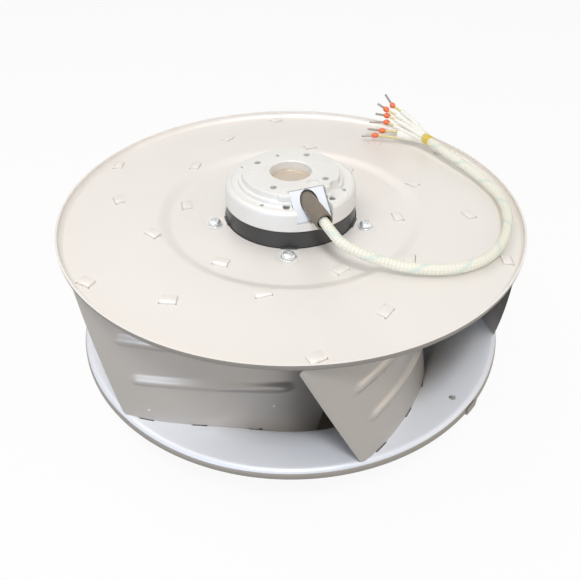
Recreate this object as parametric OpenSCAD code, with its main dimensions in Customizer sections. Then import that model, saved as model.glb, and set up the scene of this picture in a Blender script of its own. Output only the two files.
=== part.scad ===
// Plug fan: a backward-curved impeller driven by an external-rotor motor.
// Millimetres. The fan stands on its inlet edge: the origin is on the motor axis
// in the plane of that edge, and +Z points up the axis to the motor flange.

/* [Sheet metal] */
// Thickness of the plate, shroud and blade sheet
sheet_t = 1.5; // [1:0.1:2]
// Inside radius of the turned rims
lip_bend_r = 4; // [2:0.5:5]
// Distance from the back plate to the shroud at the rim
outlet_h = 98; // [80:1:120]

/* [Back plate] */
// Outside diameter of the back plate
plate_d = 360; // [356:1:400]
// Height of the turned-up rim above the plate
plate_lip_h = 5.5; // [5:0.5:10]
// Depth of the recess round the motor
recess_depth = 3.6; // [2:0.2:5]
// Radius of the recess floor
recess_r = 95; // [93:0.5:97]
// Width of the sloping band round the recess
recess_slope_w = 10; // [6:0.5:10]
// Diameter of the pressed dimple round each rotor screw
dimple_d = 19; // [16:0.5:22]
// Depth of the dimple
dimple_depth = 0.8; // [0.4:0.1:1.2]

/* [Shroud] */
// Outside diameter of the shroud
shroud_d = 360; // [356:1:400]
// Height of the turned-down rim
shroud_lip_h = 7; // [6:0.5:10]
// Diameter of the inlet opening
inlet_d = 245; // [235:1:250]
// Length of the straight inlet edge
inlet_edge = 4; // [2:0.5:10]
// Radius of the outer part of the shroud curve
curve_outer_r = 32; // [28:1:36]
// Radius of the inner part of the shroud curve
curve_inner_r = 60; // [50:1:66]
// Angle turned by the outer part of the curve
curve_turn = 50; // [45:1:55]
// Diameter of the balancing hole
balance_hole_d = 5.5; // [3:0.5:7]
// Distance of the balancing hole from the axis
balance_hole_r = 166.5; // [164:0.5:168]
// Direction of the balancing hole
balance_hole_dir = -42.7; // [-50:0.1:-36]

/* [Blades] */
// Number of blades
blade_n = 6; // [5:1:7]
// Outside diameter over the blade tips
blade_tip_d = 356; // [340:1:356]
// Radius at which the blade starts under the back plate
blade_root_r = 81; // [80:0.5:84]
// Curve radius of the blade at the back plate
blade_curve_r = 152; // [150:0.5:154]
// Growth of the curve radius for each millimetre down
blade_lean = 0.19; // [0.15:0.01:0.22]
// Distance from the motor axis to the axis of the blade curve
blade_axis_r = 73; // [72:0.5:74]
// Direction of the blade curve's axis, first blade
blade_axis_dir = -146; // [-160:1:-130]
// Rounding of the tip corner at the back plate
tip_corner_r = 7; // [3:0.5:10]
// Where the inner end of a blade meets the shroud, on the curve's angle
blade_foot_turn = 163; // [155:1:166]
// Width of the pressed beads
bead_w = 9; // [6:0.5:11]
// Height of the pressed beads
bead_h = 2.4; // [1.6:0.2:2.6]
// Number of beads on a blade
bead_n = 2; // [1:1:3]
// How far a bead ends inside the blade tips
bead_tip_gap = 9.4; // [7:0.2:20]
// How far a bead ends outside the blade's inner edge
bead_edge_gap = 12; // [8:0.5:30]

/* [Blade tabs] */
// Length of a tab along the blade
tab_l = 12; // [9:0.5:14]
// Width of the folded tab
tab_w = 8.5; // [6:0.5:9]
// Number of tabs through the back plate
tab_n = 4; // [3:1:4]
// How far the innermost tab lies outside the blade's root
tab_root_gap = 7.2; // [6.6:0.2:10]
// How far the outermost tab lies inside the blade tips
tab_tip_gap = 5.4; // [5:0.2:10]
// Number of tabs through the shroud
foot_tab_n = 3; // [2:1:3]
// How far the outermost of these tabs lies inside the blade tips
foot_tab_tip_gap = 7.6; // [7:0.2:14]
// How far the innermost of these tabs lies outside the inlet edge
foot_tab_inlet_gap = 14.1; // [12:0.1:20]
// Length of a tab through the shroud
foot_tab_l = 10; // [7:0.5:12]
// How far those tabs stand out below the shroud
foot_tab_out = 2; // [1:0.5:3]

/* [Rotor] */
// Outside diameter of the rotor bell
rotor_d = 104; // [102:0.5:106]
// Wall of the rotor bell
rotor_wall = 2.6; // [2:0.2:3]
// Height of the rotor rim above the back plate
rotor_rim_h = 9.4; // [7:0.2:9.8]
// Depth of the rotor end below the back plate
rotor_depth = 82; // [80:1:90]
// Thickness of the rotor end wall
rotor_end_t = 5; // [3:0.5:7]
// Wall of the rotor's boss round the shaft
boss_wall = 5; // [4:0.5:6]
// Edge rounding of the rotor end
rotor_edge_r = 7; // [4:0.5:8]
// Number of screws that hold the impeller
screw_n = 5; // [3:1:6]
// Distance of the screws from the axis
screw_r = 62; // [61:0.5:66]
// Direction of the first screw
screw_dir = -91.5; // [-120:0.5:-60]
// Thickness of the screw lugs
lug_t = 7; // [5:0.5:10]
// Width of the screw lugs
lug_w = 16; // [14:0.5:18]
// Thread diameter of the screws
screw_d = 6; // [4:0.5:6]
// Diameter of the screw heads
screw_head_d = 10; // [9:0.5:12]
// Height of the screw heads
screw_head_h = 3.4; // [2.5:0.1:4.5]
// Length of the screw below its head
screw_l = 9; // [7:0.5:9]

/* [Motor] */
// Diameter of the motor shaft
shaft_d = 12; // [10:0.5:13]
// Length of the lamination stack
core_h = 46; // [30:1:50]
// Outside diameter of the stator stack
core_d = 80; // [76:0.5:84]
// Air gap between stator and rotor
air_gap = 0.5; // [0.4:0.1:0.8]
// Number of stator slots
slot_n = 24; // [18:6:24]
// Height of the end windings
winding_h = 11; // [8:0.5:12]
// Depth of the stack's upper end below the back plate
core_top = 10; // [8:0.5:16]
// Number of bars in the rotor cage
cage_bar_n = 34; // [20:1:40]

/* [Bearings] */
// Outside diameter of the ball bearings
bearing_d = 32; // [30:0.5:34]
// Width of the ball bearings
bearing_w = 10; // [8:0.5:11]
// Diameter of the balls
ball_d = 5.9; // [5:0.1:6]
// Number of balls
ball_n = 7; // [6:1:8]

/* [Stator flange] */
// Outside diameter of the flange at its foot
flange_d = 103; // [100:0.5:106]
// Height of the flange's foot above the back plate
flange_foot_h = 10.3; // [10:0.1:14]
// Height of the mounting face above the back plate
face_h = 33; // [32:0.5:36]
// Height of the shoulder ring above the back plate
shoulder_h = 25; // [24:0.5:26]
// Rounding of the flange's outer edge
flange_edge_r = 3.6; // [2:0.2:4]
// Inward draft of the flange's side
flange_draft = 1.2; // [0.5:0.1:2]
// Wall of the flange
flange_wall = 5; // [4:0.5:6]
// Wall of the bearing tube
tube_wall = 4; // [3:0.5:5]
// Thickness of the web between tube and side
web_t = 6; // [5:0.5:8]
// Depth of the labyrinth lip that reaches into the rotor
labyrinth_h = 6; // [3:0.5:8]
// Height of the rim round the shoulder ring
rim_h = 0.6; // [0.4:0.1:1]
// Width of the ledge round the mounting face
ledge_w = 3; // [2:0.5:4]
// Height of the ledge above the shoulder ring
ledge_h = 3.2; // [2:0.2:4]
// Diameter of the mounting face
face_d = 75; // [74:0.5:78]
// Diameter of the circle of mounting threads
bolt_circle_d = 58; // [54:0.5:60]
// Number of mounting threads
bolt_n = 4; // [3:1:4]
// Core diameter of the mounting threads
bolt_hole_d = 5; // [4:0.5:6]
// Depth of the mounting threads
bolt_hole_depth = 11; // [8:0.5:12]
// Direction of the first mounting thread
bolt_dir = -26; // [-30:0.5:-20]
// Depth of the bearing cap below the mounting face
cap_depth = 8; // [6:0.5:9]

/* [Cable entry] */
// Direction in which the cable leaves
entry_dir = -68.6; // [-72:0.2:-66]
// Height of the cable above the back plate
entry_h = 24.5; // [24:0.1:25]
// Width of the sloping entry panel
panel_w = 27; // [22:0.5:28]
// Distance of the panel's upper edge from the axis
panel_top_r = 30; // [29.5:0.5:32]
// Distance of the panel's lower edge from the axis
panel_foot_r = 47.6; // [46:0.2:48]
// Height of the panel's lower edge above the back plate
panel_foot_h = 16.4; // [15.6:0.2:18]
// Thickness of the panel
panel_t = 4; // [3:0.5:5]
// Outside diameter of the cable sleeve
sleeve_d = 12; // [10:0.5:12.5]
// Wall of the cable sleeve
sleeve_wall = 1; // [0.6:0.1:1.4]
// Distance of the sleeve's inner end from the axis
sleeve_from = 36; // [35:0.5:38]
// Distance of the sleeve's outer end from the axis
sleeve_to = 64.5; // [60:0.5:68]

/* [Cable] */
// Diameter of the braided cable
cable_d = 7.6; // [6:0.1:8]
// Length of the tie on the cable's end
tie_l = 7; // [5:0.5:10]
// Wall of the tie
tie_wall = 0.7; // [0.4:0.1:1]
// Diameter of a lead
lead_d = 2.2; // [1.6:0.1:2.2]
// Diameter of the ferrule collars
collar_d = 3.6; // [3:0.1:4]
// Length of the ferrule collars
collar_l = 6; // [4:0.5:7]
// Diameter of the ferrule tips
tip_d = 1.9; // [1.4:0.1:2.2]

/* [Balancing clip] */
// Width of the balancing clip
clip_w = 13; // [8:0.5:20]
// Height of the clip's legs
clip_h = 5; // [3:0.5:5.5]
// Sheet thickness of the clip
clip_t = 1.2; // [0.8:0.1:1.6]
// Direction of the clip on the rim
clip_dir = -40.9; // [-60:0.1:-30]

/* [Clearances] */
// Gap between faces that are clamped or seated
seat_gap = 0.1; // [0.05:0.05:0.2]
// Gap round a tab in its slot
slot_gap = 0.25; // [0.15:0.05:0.4]
// Gap round parts that turn past each other
run_gap = 0.5; // [0.3:0.1:0.8]

/* [Hidden] */
$fn = 96;
// A length that passes right through whatever it cuts
over = 400;
// How far a cut runs past the faces that it goes through
cut = 1;

// Radii
plate_r = plate_d / 2;
shroud_r = shroud_d / 2;
tip_r = blade_tip_d / 2;
inlet_r = inlet_d / 2;
rotor_r = rotor_d / 2;
core_r = core_d / 2;
flange_r = flange_d / 2;
face_r = face_d / 2;
shaft_r = shaft_d / 2;
bearing_r = bearing_d / 2;
cable_r = cable_d / 2;

// The shroud's curve: an outer and an inner arc that meet in one tangent
curve_start_r = inlet_r + curve_outer_r * sin(curve_turn) + curve_inner_r * (1 - sin(curve_turn));
curve_outer_c = [curve_start_r, -curve_outer_r];
curve_inner_c = [inlet_r + curve_inner_r,
                 -curve_outer_r * (1 - cos(curve_turn)) - curve_inner_r * cos(curve_turn)];

// Heights above the inlet edge
shroud_z = inlet_edge - curve_inner_c[1];
plate_z = shroud_z + outlet_h;
recess_z = plate_z - recess_depth;
face_z = plate_z + face_h;
core_z = plate_z - core_top - core_h;
rotor_z = plate_z - rotor_depth;

// A bearing seat at each end of the flange's tube
tube_r = bearing_r + tube_wall;
cap_t = 1.2;
circlip_t = 1.2;
circlip_room = 3;
upper_bearing_z = face_z - cap_depth - cap_t - circlip_room - bearing_w;
spring_t = 1.2;
spring_rise = 0.8;
spring_w = 1.8;
spring_out_r = bearing_r - 4 * seat_gap;
end_room = 4;
seat_depth = 1;
tube_z = rotor_z + rotor_end_t + end_room;
lower_bearing_z = tube_z + seat_depth;
spring_seat_z = lower_bearing_z + bearing_w + spring_t + spring_rise + 2 * seat_gap;
seat_lip = 2.5;
web_z = plate_z + shoulder_h - web_t;

// Bearing rings: land radii either side of the ball circle
pitch_r = (shaft_r + bearing_r) / 2;
land_in = pitch_r - ball_d / 3;
land_out = pitch_r + ball_d / 3;
race_gap = 0.05;
pocket_gap = 0.2;
cage_t = 1.6;
cage_edge = 0.6;
cage_h = ball_d + 2 * (pocket_gap + cage_edge);

// Rotor: lamination ring and cage inside the bell
rotor_core_in = core_r + air_gap;
rotor_core_out = rotor_r - rotor_wall - seat_gap;
cage_bar_d = 3;
cage_ring_h = 4;
boss_r = shaft_r + boss_wall;

// The lugs' upper faces touch the bottoms of the dimples
lug_z = recess_z - dimple_depth - sheet_t;
head_z = recess_z - dimple_depth;
washer_t = 0.8;
washer_edge = 1;
washer_d = screw_head_d + 2 * washer_edge;

// A blade bead is part of a round tube, sunk so that its width and height come out
bead_r = (pow(bead_w / 2, 2) + pow(bead_h, 2)) / (2 * bead_h);
bead_sink = bead_r - bead_h;
lean_w = sheet_t * sqrt(1 + blade_lean * blade_lean);

// Cable route above the back plate, from the sleeve round the plate to the tie
CABLE = [[16.1, -41, 24.5], [19.7, -50.3, 24.5], [23.4, -59.6, 24.4], [27.6, -68, 22.6],
         [34, -76, 19], [43.5, -81, 15.2], [54.5, -84.4, 12], [66.5, -87, 9.2], [79, -89.2, 7.2],
         [93, -90.6, 6.4], [107, -90, 6.2], [120, -86.8, 6.2], [132, -80.6, 6.2], [142.5, -71.6, 6.2],
         [151.5, -59.6, 6.2], [158.6, -46, 6.2], [164, -31, 6.2], [167.2, -15, 6.2], [168, 2, 6.2],
         [166, 17.5, 6.2], [161, 33, 6.6], [154.4, 48, 7.6], [146.4, 62.5, 9], [138, 77, 10.2],
         [130.2, 90.6, 11.2], [124, 101.6, 12]];

// Each lead: its place in the bundle's end, the pull of its bend, its collar and its tip
LEADS = [[30, [115, 122, 22], [95.6, 130.8, 31], [91, 150, 34]],
         [90, [111, 120, 19.5], [90.2, 129.8, 27.5], [82.7, 138, 30]],
         [150, [107, 117, 17.5], [91.6, 129, 22], [80, 128.8, 24]],
         [210, [105.5, 116, 12.5], [91.6, 127.9, 16], [75, 128.9, 16]],
         [-30, [112, 120, 10], [87.3, 122.2, 10], [73.8, 128.8, 9]],
         [-90, [110, 114, 6], [80.5, 118.8, 7], [67.4, 119.8, 6]]];
lead_ring_r = 2.5;
lead_steps = 6;
tube_sides = 10;
lead_sides = 8;

function arc(c, r, a0, a1, n) =
    [for (i = [0:n]) let (a = a0 + (a1 - a0) * i / n) c + r * [cos(a), sin(a)]];
function shift(pts, d) = [for (p = pts) p + d];
function reversed(pts) = [for (i = [len(pts) - 1:-1:0]) pts[i]];
function unit(v) = v / norm(v);

// Section of the back plate, radius and height above its outer face
slope_dx = sheet_t * tan(atan2(recess_depth, recess_slope_w) / 2);
plate_hole_r = rotor_r + run_gap;
plate_bend = [plate_r - sheet_t - lip_bend_r, lip_bend_r];
plate_under = [[plate_hole_r - cut, -recess_depth - sheet_t], [recess_r + slope_dx, -recess_depth - sheet_t],
               [recess_r + recess_slope_w + slope_dx, -sheet_t]];
plate_section = concat(
    plate_under,
    arc(plate_bend, lip_bend_r + sheet_t, -90, 0, 8),
    [[plate_r, plate_lip_h], [plate_r - sheet_t, plate_lip_h]],
    arc(plate_bend, lip_bend_r, 0, -90, 8),
    [[recess_r + recess_slope_w, 0], [recess_r, -recess_depth], [plate_hole_r - cut, -recess_depth]]);

// Section of the shroud, radius and height above its flat outer part. The inner arc's points
// start a small angle after the join, so that no point comes twice.
shroud_bend = [shroud_r - sheet_t - lip_bend_r, -sheet_t - lip_bend_r];
arc_join = 2;
function shroud_curve(d, turn) = concat(
    arc(curve_outer_c, curve_outer_r + d, 90, 90 + curve_turn, 6),
    arc(curve_inner_c, curve_inner_r + d, 90 + curve_turn + arc_join, turn, 5));
shroud_section = concat(
    [[shroud_r, -shroud_lip_h]],
    arc(shroud_bend, lip_bend_r + sheet_t, 0, 90, 8),
    shroud_curve(0, 180),
    [[inlet_r, -shroud_z], [inlet_r + sheet_t, -shroud_z]],
    reversed(shroud_curve(-sheet_t, 180)),
    arc(shroud_bend, lip_bend_r, 90, 0, 8),
    [[shroud_r - sheet_t, -shroud_lip_h]]);

// Space between plate and shroud that a blade fills, as radius and height
tip_corner_c = [tip_r - tip_corner_r, plate_z - sheet_t - seat_gap - tip_corner_r];
blade_space = concat(
    [[blade_root_r, recess_z - sheet_t - seat_gap]],
    shift([plate_under[1], plate_under[2]], [0, plate_z - seat_gap]),
    arc(tip_corner_c, tip_corner_r, 90, 0, 8),
    [[tip_r, shroud_z + seat_gap]],
    shift(shroud_curve(seat_gap, blade_foot_turn), [0, shroud_z]));

// Radius of a blade's outer face about the curve's axis, at a height
function blade_face_r(z) = blade_curve_r + blade_lean * (plate_z - z);
// Direction about the curve's axis in which the face lies r from the motor axis, or as near as it comes
function blade_dir(r, z) = let (face = blade_face_r(z),
                                c = (r * r - face * face - pow(blade_axis_r, 2)) / (2 * blade_axis_r * face))
    blade_axis_dir + acos(max(c, -1));
// Distance from the motor axis to the blade's inner edge, which runs straight from its root to its foot
blade_root = blade_space[0];
blade_foot = blade_space[len(blade_space) - 1];
function inner_edge_r(z) =
    blade_root[0] + (blade_foot[0] - blade_root[0]) * (blade_root[1] - z) / (blade_root[1] - blade_foot[1]);

// Wall between two cones that follow the blade's face, from z0 to z1, widened by gap
module blade_cone(z0, z1, gap = 0) {
    polygon([[blade_face_r(z0) - lean_w - gap, z0], [blade_face_r(z0) + gap, z0],
             [blade_face_r(z1) + gap, z1], [blade_face_r(z1) - lean_w - gap, z1]]);
}

// Part of that wall, len long on the curve, centred on a direction
module blade_piece(z0, z1, dir, len, gap) {
    half = (len / 2 + gap) / blade_curve_r * 180 / PI;
    rotate([0, 0, dir - half]) rotate_extrude(angle = 2 * half) blade_cone(z0, z1, gap);
}

// Tubes along the blade, on the beads' centre lines
module bead_tubes(r) {
    for (i = [1:bead_n]) {
        z = plate_z - outlet_h * i / (bead_n + 1);
        from = blade_dir(tip_r - bead_tip_gap, z);
        to = blade_dir(inner_edge_r(z) + bead_edge_gap, z);
        rotate([0, 0, from]) rotate_extrude(angle = to - from)
            translate([blade_face_r(z) - bead_sink, z]) circle(r, $fn = 32);
    }
}

// Tabs are spread evenly between the first and the last of their row
tab_first = blade_dir(blade_root_r + tab_root_gap, plate_z);
tab_last = blade_dir(tip_r - tab_tip_gap, plate_z);
foot_tab_first = blade_dir(tip_r - foot_tab_tip_gap, shroud_z);
foot_tab_last = blade_dir(inlet_r + foot_tab_inlet_gap, shroud_z);
function tab_dir(i) = tab_first + (tab_last - tab_first) * i / (tab_n - 1);
function foot_tab_dir(i) = foot_tab_first + (foot_tab_last - foot_tab_first) * i / (foot_tab_n - 1);
// The innermost tab stands in the recess
function tab_seat(i) = i == 0 ? recess_z : plate_z;

// A blade is drawn about the axis of its curve, and the motor axis is found again from there
module place_blade(i) {
    rotate([0, 0, i * 360 / blade_n + blade_axis_dir]) translate([blade_axis_r, 0, 0])
        rotate([0, 0, -blade_axis_dir]) children();
}
module on_motor_axis() {
    rotate([0, 0, blade_axis_dir]) translate([-blade_axis_r, 0, 0]) children();
}

// Tabs along the shroud's curve, from inside the blade to a little below the shroud
foot_tab_root = 3;
foot_space = concat(
    [[tip_r, foot_tab_root]], shroud_curve(foot_tab_root, blade_foot_turn),
    reversed(shroud_curve(-sheet_t - foot_tab_out, blade_foot_turn)),
    [[tip_r, -sheet_t - foot_tab_out]]);
module foot_pieces(gap) {
    for (k = [0:foot_tab_n - 1])
        blade_piece(0, shroud_z + foot_tab_root + gap, foot_tab_dir(k), foot_tab_l, gap);
}

// One folded tab on the plate, with a stem that reaches down into the blade. Stems are a little
// thinner than the blade, so that no face of theirs lies in one of its faces.
tab_root = 4;
stem_inset = 0.05;
module folded_tab(i) {
    z = tab_seat(i) + seat_gap;
    side = concat([[-tab_w, 0], [-lean_w, 0], [0, 0]],
                  arc([-sheet_t, 0], sheet_t, 0, 90, 4), [[-tab_w, sheet_t]]);
    rotate([0, 0, tab_dir(i)]) translate([blade_face_r(tab_seat(i)), tab_l / 2, z]) rotate([90, 0, 0])
        linear_extrude(tab_l) polygon(side);
    blade_piece(tab_seat(i) - sheet_t - tab_root, z + sheet_t / 2, tab_dir(i), tab_l, -stem_inset);
}

module one_blade(i) {
    color("#B9B4AC") place_blade(i) difference() {
        union() {
            intersection() {
                rotate_extrude() blade_cone(0, plate_z);
                on_motor_axis() rotate_extrude() polygon(blade_space);
                on_motor_axis() translate([-over, 0, 0]) cube([2 * over, over, over]);
            }
            difference() {
                bead_tubes(bead_r);
                cylinder(h = plate_z, r1 = blade_face_r(0) - lean_w,
                         r2 = blade_face_r(plate_z) - lean_w);
            }
            for (k = [0:tab_n - 1]) folded_tab(k);
            intersection() {
                foot_pieces(-stem_inset);
                on_motor_axis() translate([0, 0, shroud_z]) rotate_extrude() polygon(foot_space);
            }
        }
        bead_tubes(bead_r - sheet_t);
    }
}

// Slots for the tabs of every blade
module tab_slots() {
    for (i = [0:blade_n - 1]) place_blade(i) for (k = [0:tab_n - 1])
        blade_piece(tab_seat(k) - sheet_t - cut, tab_seat(k) + cut, tab_dir(k), tab_l, slot_gap);
}
module foot_slots() {
    for (i = [0:blade_n - 1]) place_blade(i) foot_pieces(slot_gap);
}

module at_screws() {
    for (i = [0:screw_n - 1]) rotate([0, 0, screw_dir + i * 360 / screw_n])
        translate([screw_r, 0, 0]) children();
}

module back_plate() {
    color("#E9E6E1") difference() {
        union() {
            translate([0, 0, plate_z]) rotate_extrude() polygon(plate_section);
            at_screws() translate([0, 0, lug_z])
                cylinder(h = dimple_depth + sheet_t / 2, d = dimple_d + 2 * sheet_t);
        }
        at_screws() {
            translate([0, 0, head_z]) cylinder(h = over, d = dimple_d);
            cylinder(h = over, d = screw_d + 2 * slot_gap);
        }
        cylinder(h = over, r = plate_hole_r);
        tab_slots();
    }
}

module shroud() {
    color("#C9C6C0") difference() {
        translate([0, 0, shroud_z]) rotate_extrude() polygon(shroud_section);
        foot_slots();
        rotate([0, 0, balance_hole_dir]) translate([balance_hole_r, 0, 0])
            cylinder(h = over, d = balance_hole_d);
    }
}

module rotor_bell() {
    rim_z = plate_z + rotor_rim_h;
    end_c = [rotor_r - rotor_edge_r, rotor_z + rotor_edge_r];
    section = concat(
        [[shaft_r + seat_gap, rotor_z]],
        arc(end_c, rotor_edge_r, -90, 0, 8),
        [[rotor_r, rim_z], [rotor_r - rotor_wall, rim_z]],
        arc(end_c, rotor_edge_r - rotor_wall, 0, -90, 8),
        [[boss_r, rotor_z + rotor_wall], [boss_r, rotor_z + rotor_end_t],
         [shaft_r + seat_gap, rotor_z + rotor_end_t]]);
    lug_root = screw_r - rotor_r + rotor_wall / 2;
    color("#2E2C2B") difference() {
        union() {
            rotate_extrude() polygon(section);
            at_screws() translate([0, 0, lug_z - lug_t]) linear_extrude(lug_t) {
                circle(d = lug_w);
                translate([-lug_root, -lug_w / 2]) square([lug_root, lug_w]);
            }
        }
        at_screws() translate([0, 0, lug_z - lug_t - cut])
            cylinder(h = lug_t + 2 * cut, d = screw_d + 2 * seat_gap);
        translate([0, 0, rotor_z + rotor_edge_r]) cylinder(h = over, r = rotor_r - rotor_wall);
    }
}

module rotor_core() {
    color("#77736E") translate([0, 0, core_z]) difference() {
        cylinder(h = core_h, r = rotor_core_out);
        translate([0, 0, -cut]) cylinder(h = core_h + 2 * cut, r = rotor_core_in);
        cage_bars(core_h + 2 * cut, cage_bar_d + 2 * seat_gap, -cut);
    }
}
module cage_bars(h, d, z) {
    for (i = [0:cage_bar_n - 1]) rotate([0, 0, i * 360 / cage_bar_n])
        translate([(rotor_core_in + rotor_core_out) / 2, 0, z]) cylinder(h = h, d = d, $fn = 24);
}
module rotor_cage() {
    color("#C9CBCC") translate([0, 0, core_z]) {
        cage_bars(core_h + 2 * seat_gap, cage_bar_d, -seat_gap);
        for (z = [-seat_gap - cage_ring_h, core_h + seat_gap]) translate([0, 0, z]) difference() {
            cylinder(h = cage_ring_h, r = rotor_core_out);
            translate([0, 0, -cut]) cylinder(h = cage_ring_h + 2 * cut, r = rotor_core_in);
        }
    }
}

circlip_z = upper_bearing_z + bearing_w + seat_gap;
circlip_out_r = shaft_r + 2;
groove_depth = 0.8;
shaft_end = 1;
shaft_shoulder_r = shaft_r + 2;
shaft_shoulder_z = rotor_z + rotor_end_t + seat_gap;
module motor_shaft() {
    shaft_z = rotor_z - shaft_end;
    color("#B8BABC") difference() {
        union() {
            translate([0, 0, shaft_z])
                cylinder(h = circlip_z + circlip_t + shaft_end - shaft_z, r = shaft_r);
            translate([0, 0, shaft_shoulder_z])
                cylinder(h = lower_bearing_z - seat_gap - shaft_shoulder_z, r = shaft_shoulder_r);
        }
        translate([0, 0, circlip_z]) difference() {
            cylinder(h = circlip_t, r = shaft_r + cut);
            translate([0, 0, -cut]) cylinder(h = circlip_t + 2 * cut, r = shaft_r - groove_depth);
        }
    }
}
module shaft_circlip() {
    color("#3A3A3C") translate([0, 0, circlip_z]) difference() {
        translate([0, 0, seat_gap]) cylinder(h = circlip_t - 2 * seat_gap, r = circlip_out_r);
        translate([0, 0, -cut])
            cylinder(h = circlip_t + 2 * cut, r = shaft_r - groove_depth + seat_gap);
        translate([0, -shaft_r / 3, -cut]) cube([over, 2 * shaft_r / 3, circlip_t + 2 * cut]);
    }
}

// Ball bearing rings at a height: outer rings belong to the flange, inner ones to the shaft
module race(z) {
    translate([0, 0, z + bearing_w / 2]) rotate_extrude()
        translate([pitch_r, 0]) circle(d = ball_d + 2 * race_gap, $fn = 48);
}
module bearing_outer(z) {
    color("#C4C6C8") difference() {
        translate([0, 0, z]) cylinder(h = bearing_w, r = bearing_r - seat_gap);
        translate([0, 0, z - cut]) cylinder(h = bearing_w + 2 * cut, r = land_out);
        race(z);
    }
}
module bearing_inner(z) {
    color("#C4C6C8") difference() {
        translate([0, 0, z]) cylinder(h = bearing_w, r = land_in);
        translate([0, 0, z - cut]) cylinder(h = bearing_w + 2 * cut, r = shaft_r + seat_gap);
        race(z);
    }
}
module at_balls(z) {
    for (i = [0:ball_n - 1]) rotate([0, 0, i * 360 / ball_n])
        translate([pitch_r, 0, z + bearing_w / 2]) children();
}
module bearing_balls(z) {
    color("#D8DADC") at_balls(z) sphere(d = ball_d, $fn = 32);
}
module bearing_cage(z) {
    color("#8A6B3A") difference() {
        translate([0, 0, z + (bearing_w - cage_h) / 2]) cylinder(h = cage_h, r = pitch_r + cage_t / 2);
        translate([0, 0, z]) cylinder(h = bearing_w, r = pitch_r - cage_t / 2);
        at_balls(z) sphere(d = ball_d + 2 * pocket_gap, $fn = 32);
    }
}
module upper_bearing_outer() { bearing_outer(upper_bearing_z); }
module lower_bearing_outer() { bearing_outer(lower_bearing_z); }
module upper_bearing_inner() { bearing_inner(upper_bearing_z); }
module lower_bearing_inner() { bearing_inner(lower_bearing_z); }
module upper_bearing_balls() { bearing_balls(upper_bearing_z); }
module lower_bearing_balls() { bearing_balls(lower_bearing_z); }
module upper_bearing_cage() { bearing_cage(upper_bearing_z); }
module lower_bearing_cage() { bearing_cage(lower_bearing_z); }

// Belleville washer that presses the lower bearing's outer ring
module preload_spring() {
    z = lower_bearing_z + bearing_w + seat_gap;
    spring_in_r = spring_out_r - spring_w;
    color("#6F7274") rotate_extrude() polygon(
        [[spring_in_r, z + spring_rise], [spring_out_r, z],
         [spring_out_r, z + spring_t], [spring_in_r, z + spring_rise + spring_t]]);
}

// Cap pressed into the bore above the upper bearing, with a turned-up rim
cap_rim_h = 1.5;
cap_rim_w = 1.1;
cap_fillet = 0.6;
module bearing_cap() {
    z = face_z - cap_depth;
    cap_r = bearing_r - seat_gap;
    color("#CDBBA3") rotate_extrude() polygon(
        [[0, z - cap_t], [cap_r, z - cap_t], [cap_r, z + cap_rim_h], [cap_r - cap_rim_w, z + cap_rim_h],
         [cap_r - cap_rim_w - cap_fillet, z], [0, z]]);
}

// Frame of the cable entry: X outward along the cable, Z up from the back plate
module at_entry() { translate([0, 0, plate_z]) rotate([0, 0, entry_dir]) children(); }
panel_drop = 0.3;
panel_head_h = face_h - panel_drop;
panel_slope = atan2(panel_head_h - panel_foot_h, panel_foot_r - panel_top_r);
panel_lift = panel_t / cos(panel_slope);
module across(width) {
    translate([0, width / 2, 0]) rotate([90, 0, 0]) linear_extrude(width) children();
}
module panel_slab() {
    across(panel_w) polygon(
        [[panel_top_r, panel_head_h - panel_lift], [panel_foot_r, panel_foot_h - panel_lift],
         [panel_foot_r, panel_foot_h], [panel_top_r, panel_head_h]]);
}
// Pocket for the panel: a sill holds its foot, and it is open above
module panel_pocket() {
    in_r = panel_top_r - slot_gap;
    out_r = panel_foot_r + slot_gap;
    under = panel_lift + slot_gap;
    across(panel_w + 2 * slot_gap) polygon(
        [[in_r, panel_head_h - under], [out_r, panel_foot_h - under], [out_r, panel_foot_h],
         [over, panel_foot_h], [over, over], [in_r, over]]);
}
module entry_bore(gap) {
    translate([sleeve_from - gap / 2, 0, entry_h]) rotate([0, 90, 0])
        cylinder(h = over, r = sleeve_d / 2 + gap);
}
module entry_panel() {
    color("#EDEFF2") at_entry() difference() {
        panel_slab();
        entry_bore(slot_gap);
    }
}
cable_seat_r = norm([CABLE[0][0], CABLE[0][1]]);
module cable_sleeve() {
    color("#6B625A") at_entry() translate([sleeve_from, 0, entry_h]) rotate([0, 90, 0]) difference() {
        cylinder(h = sleeve_to - sleeve_from, r = sleeve_d / 2);
        translate([0, 0, cable_seat_r - sleeve_from]) cylinder(h = over, r = sleeve_d / 2 - sleeve_wall);
    }
}

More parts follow.
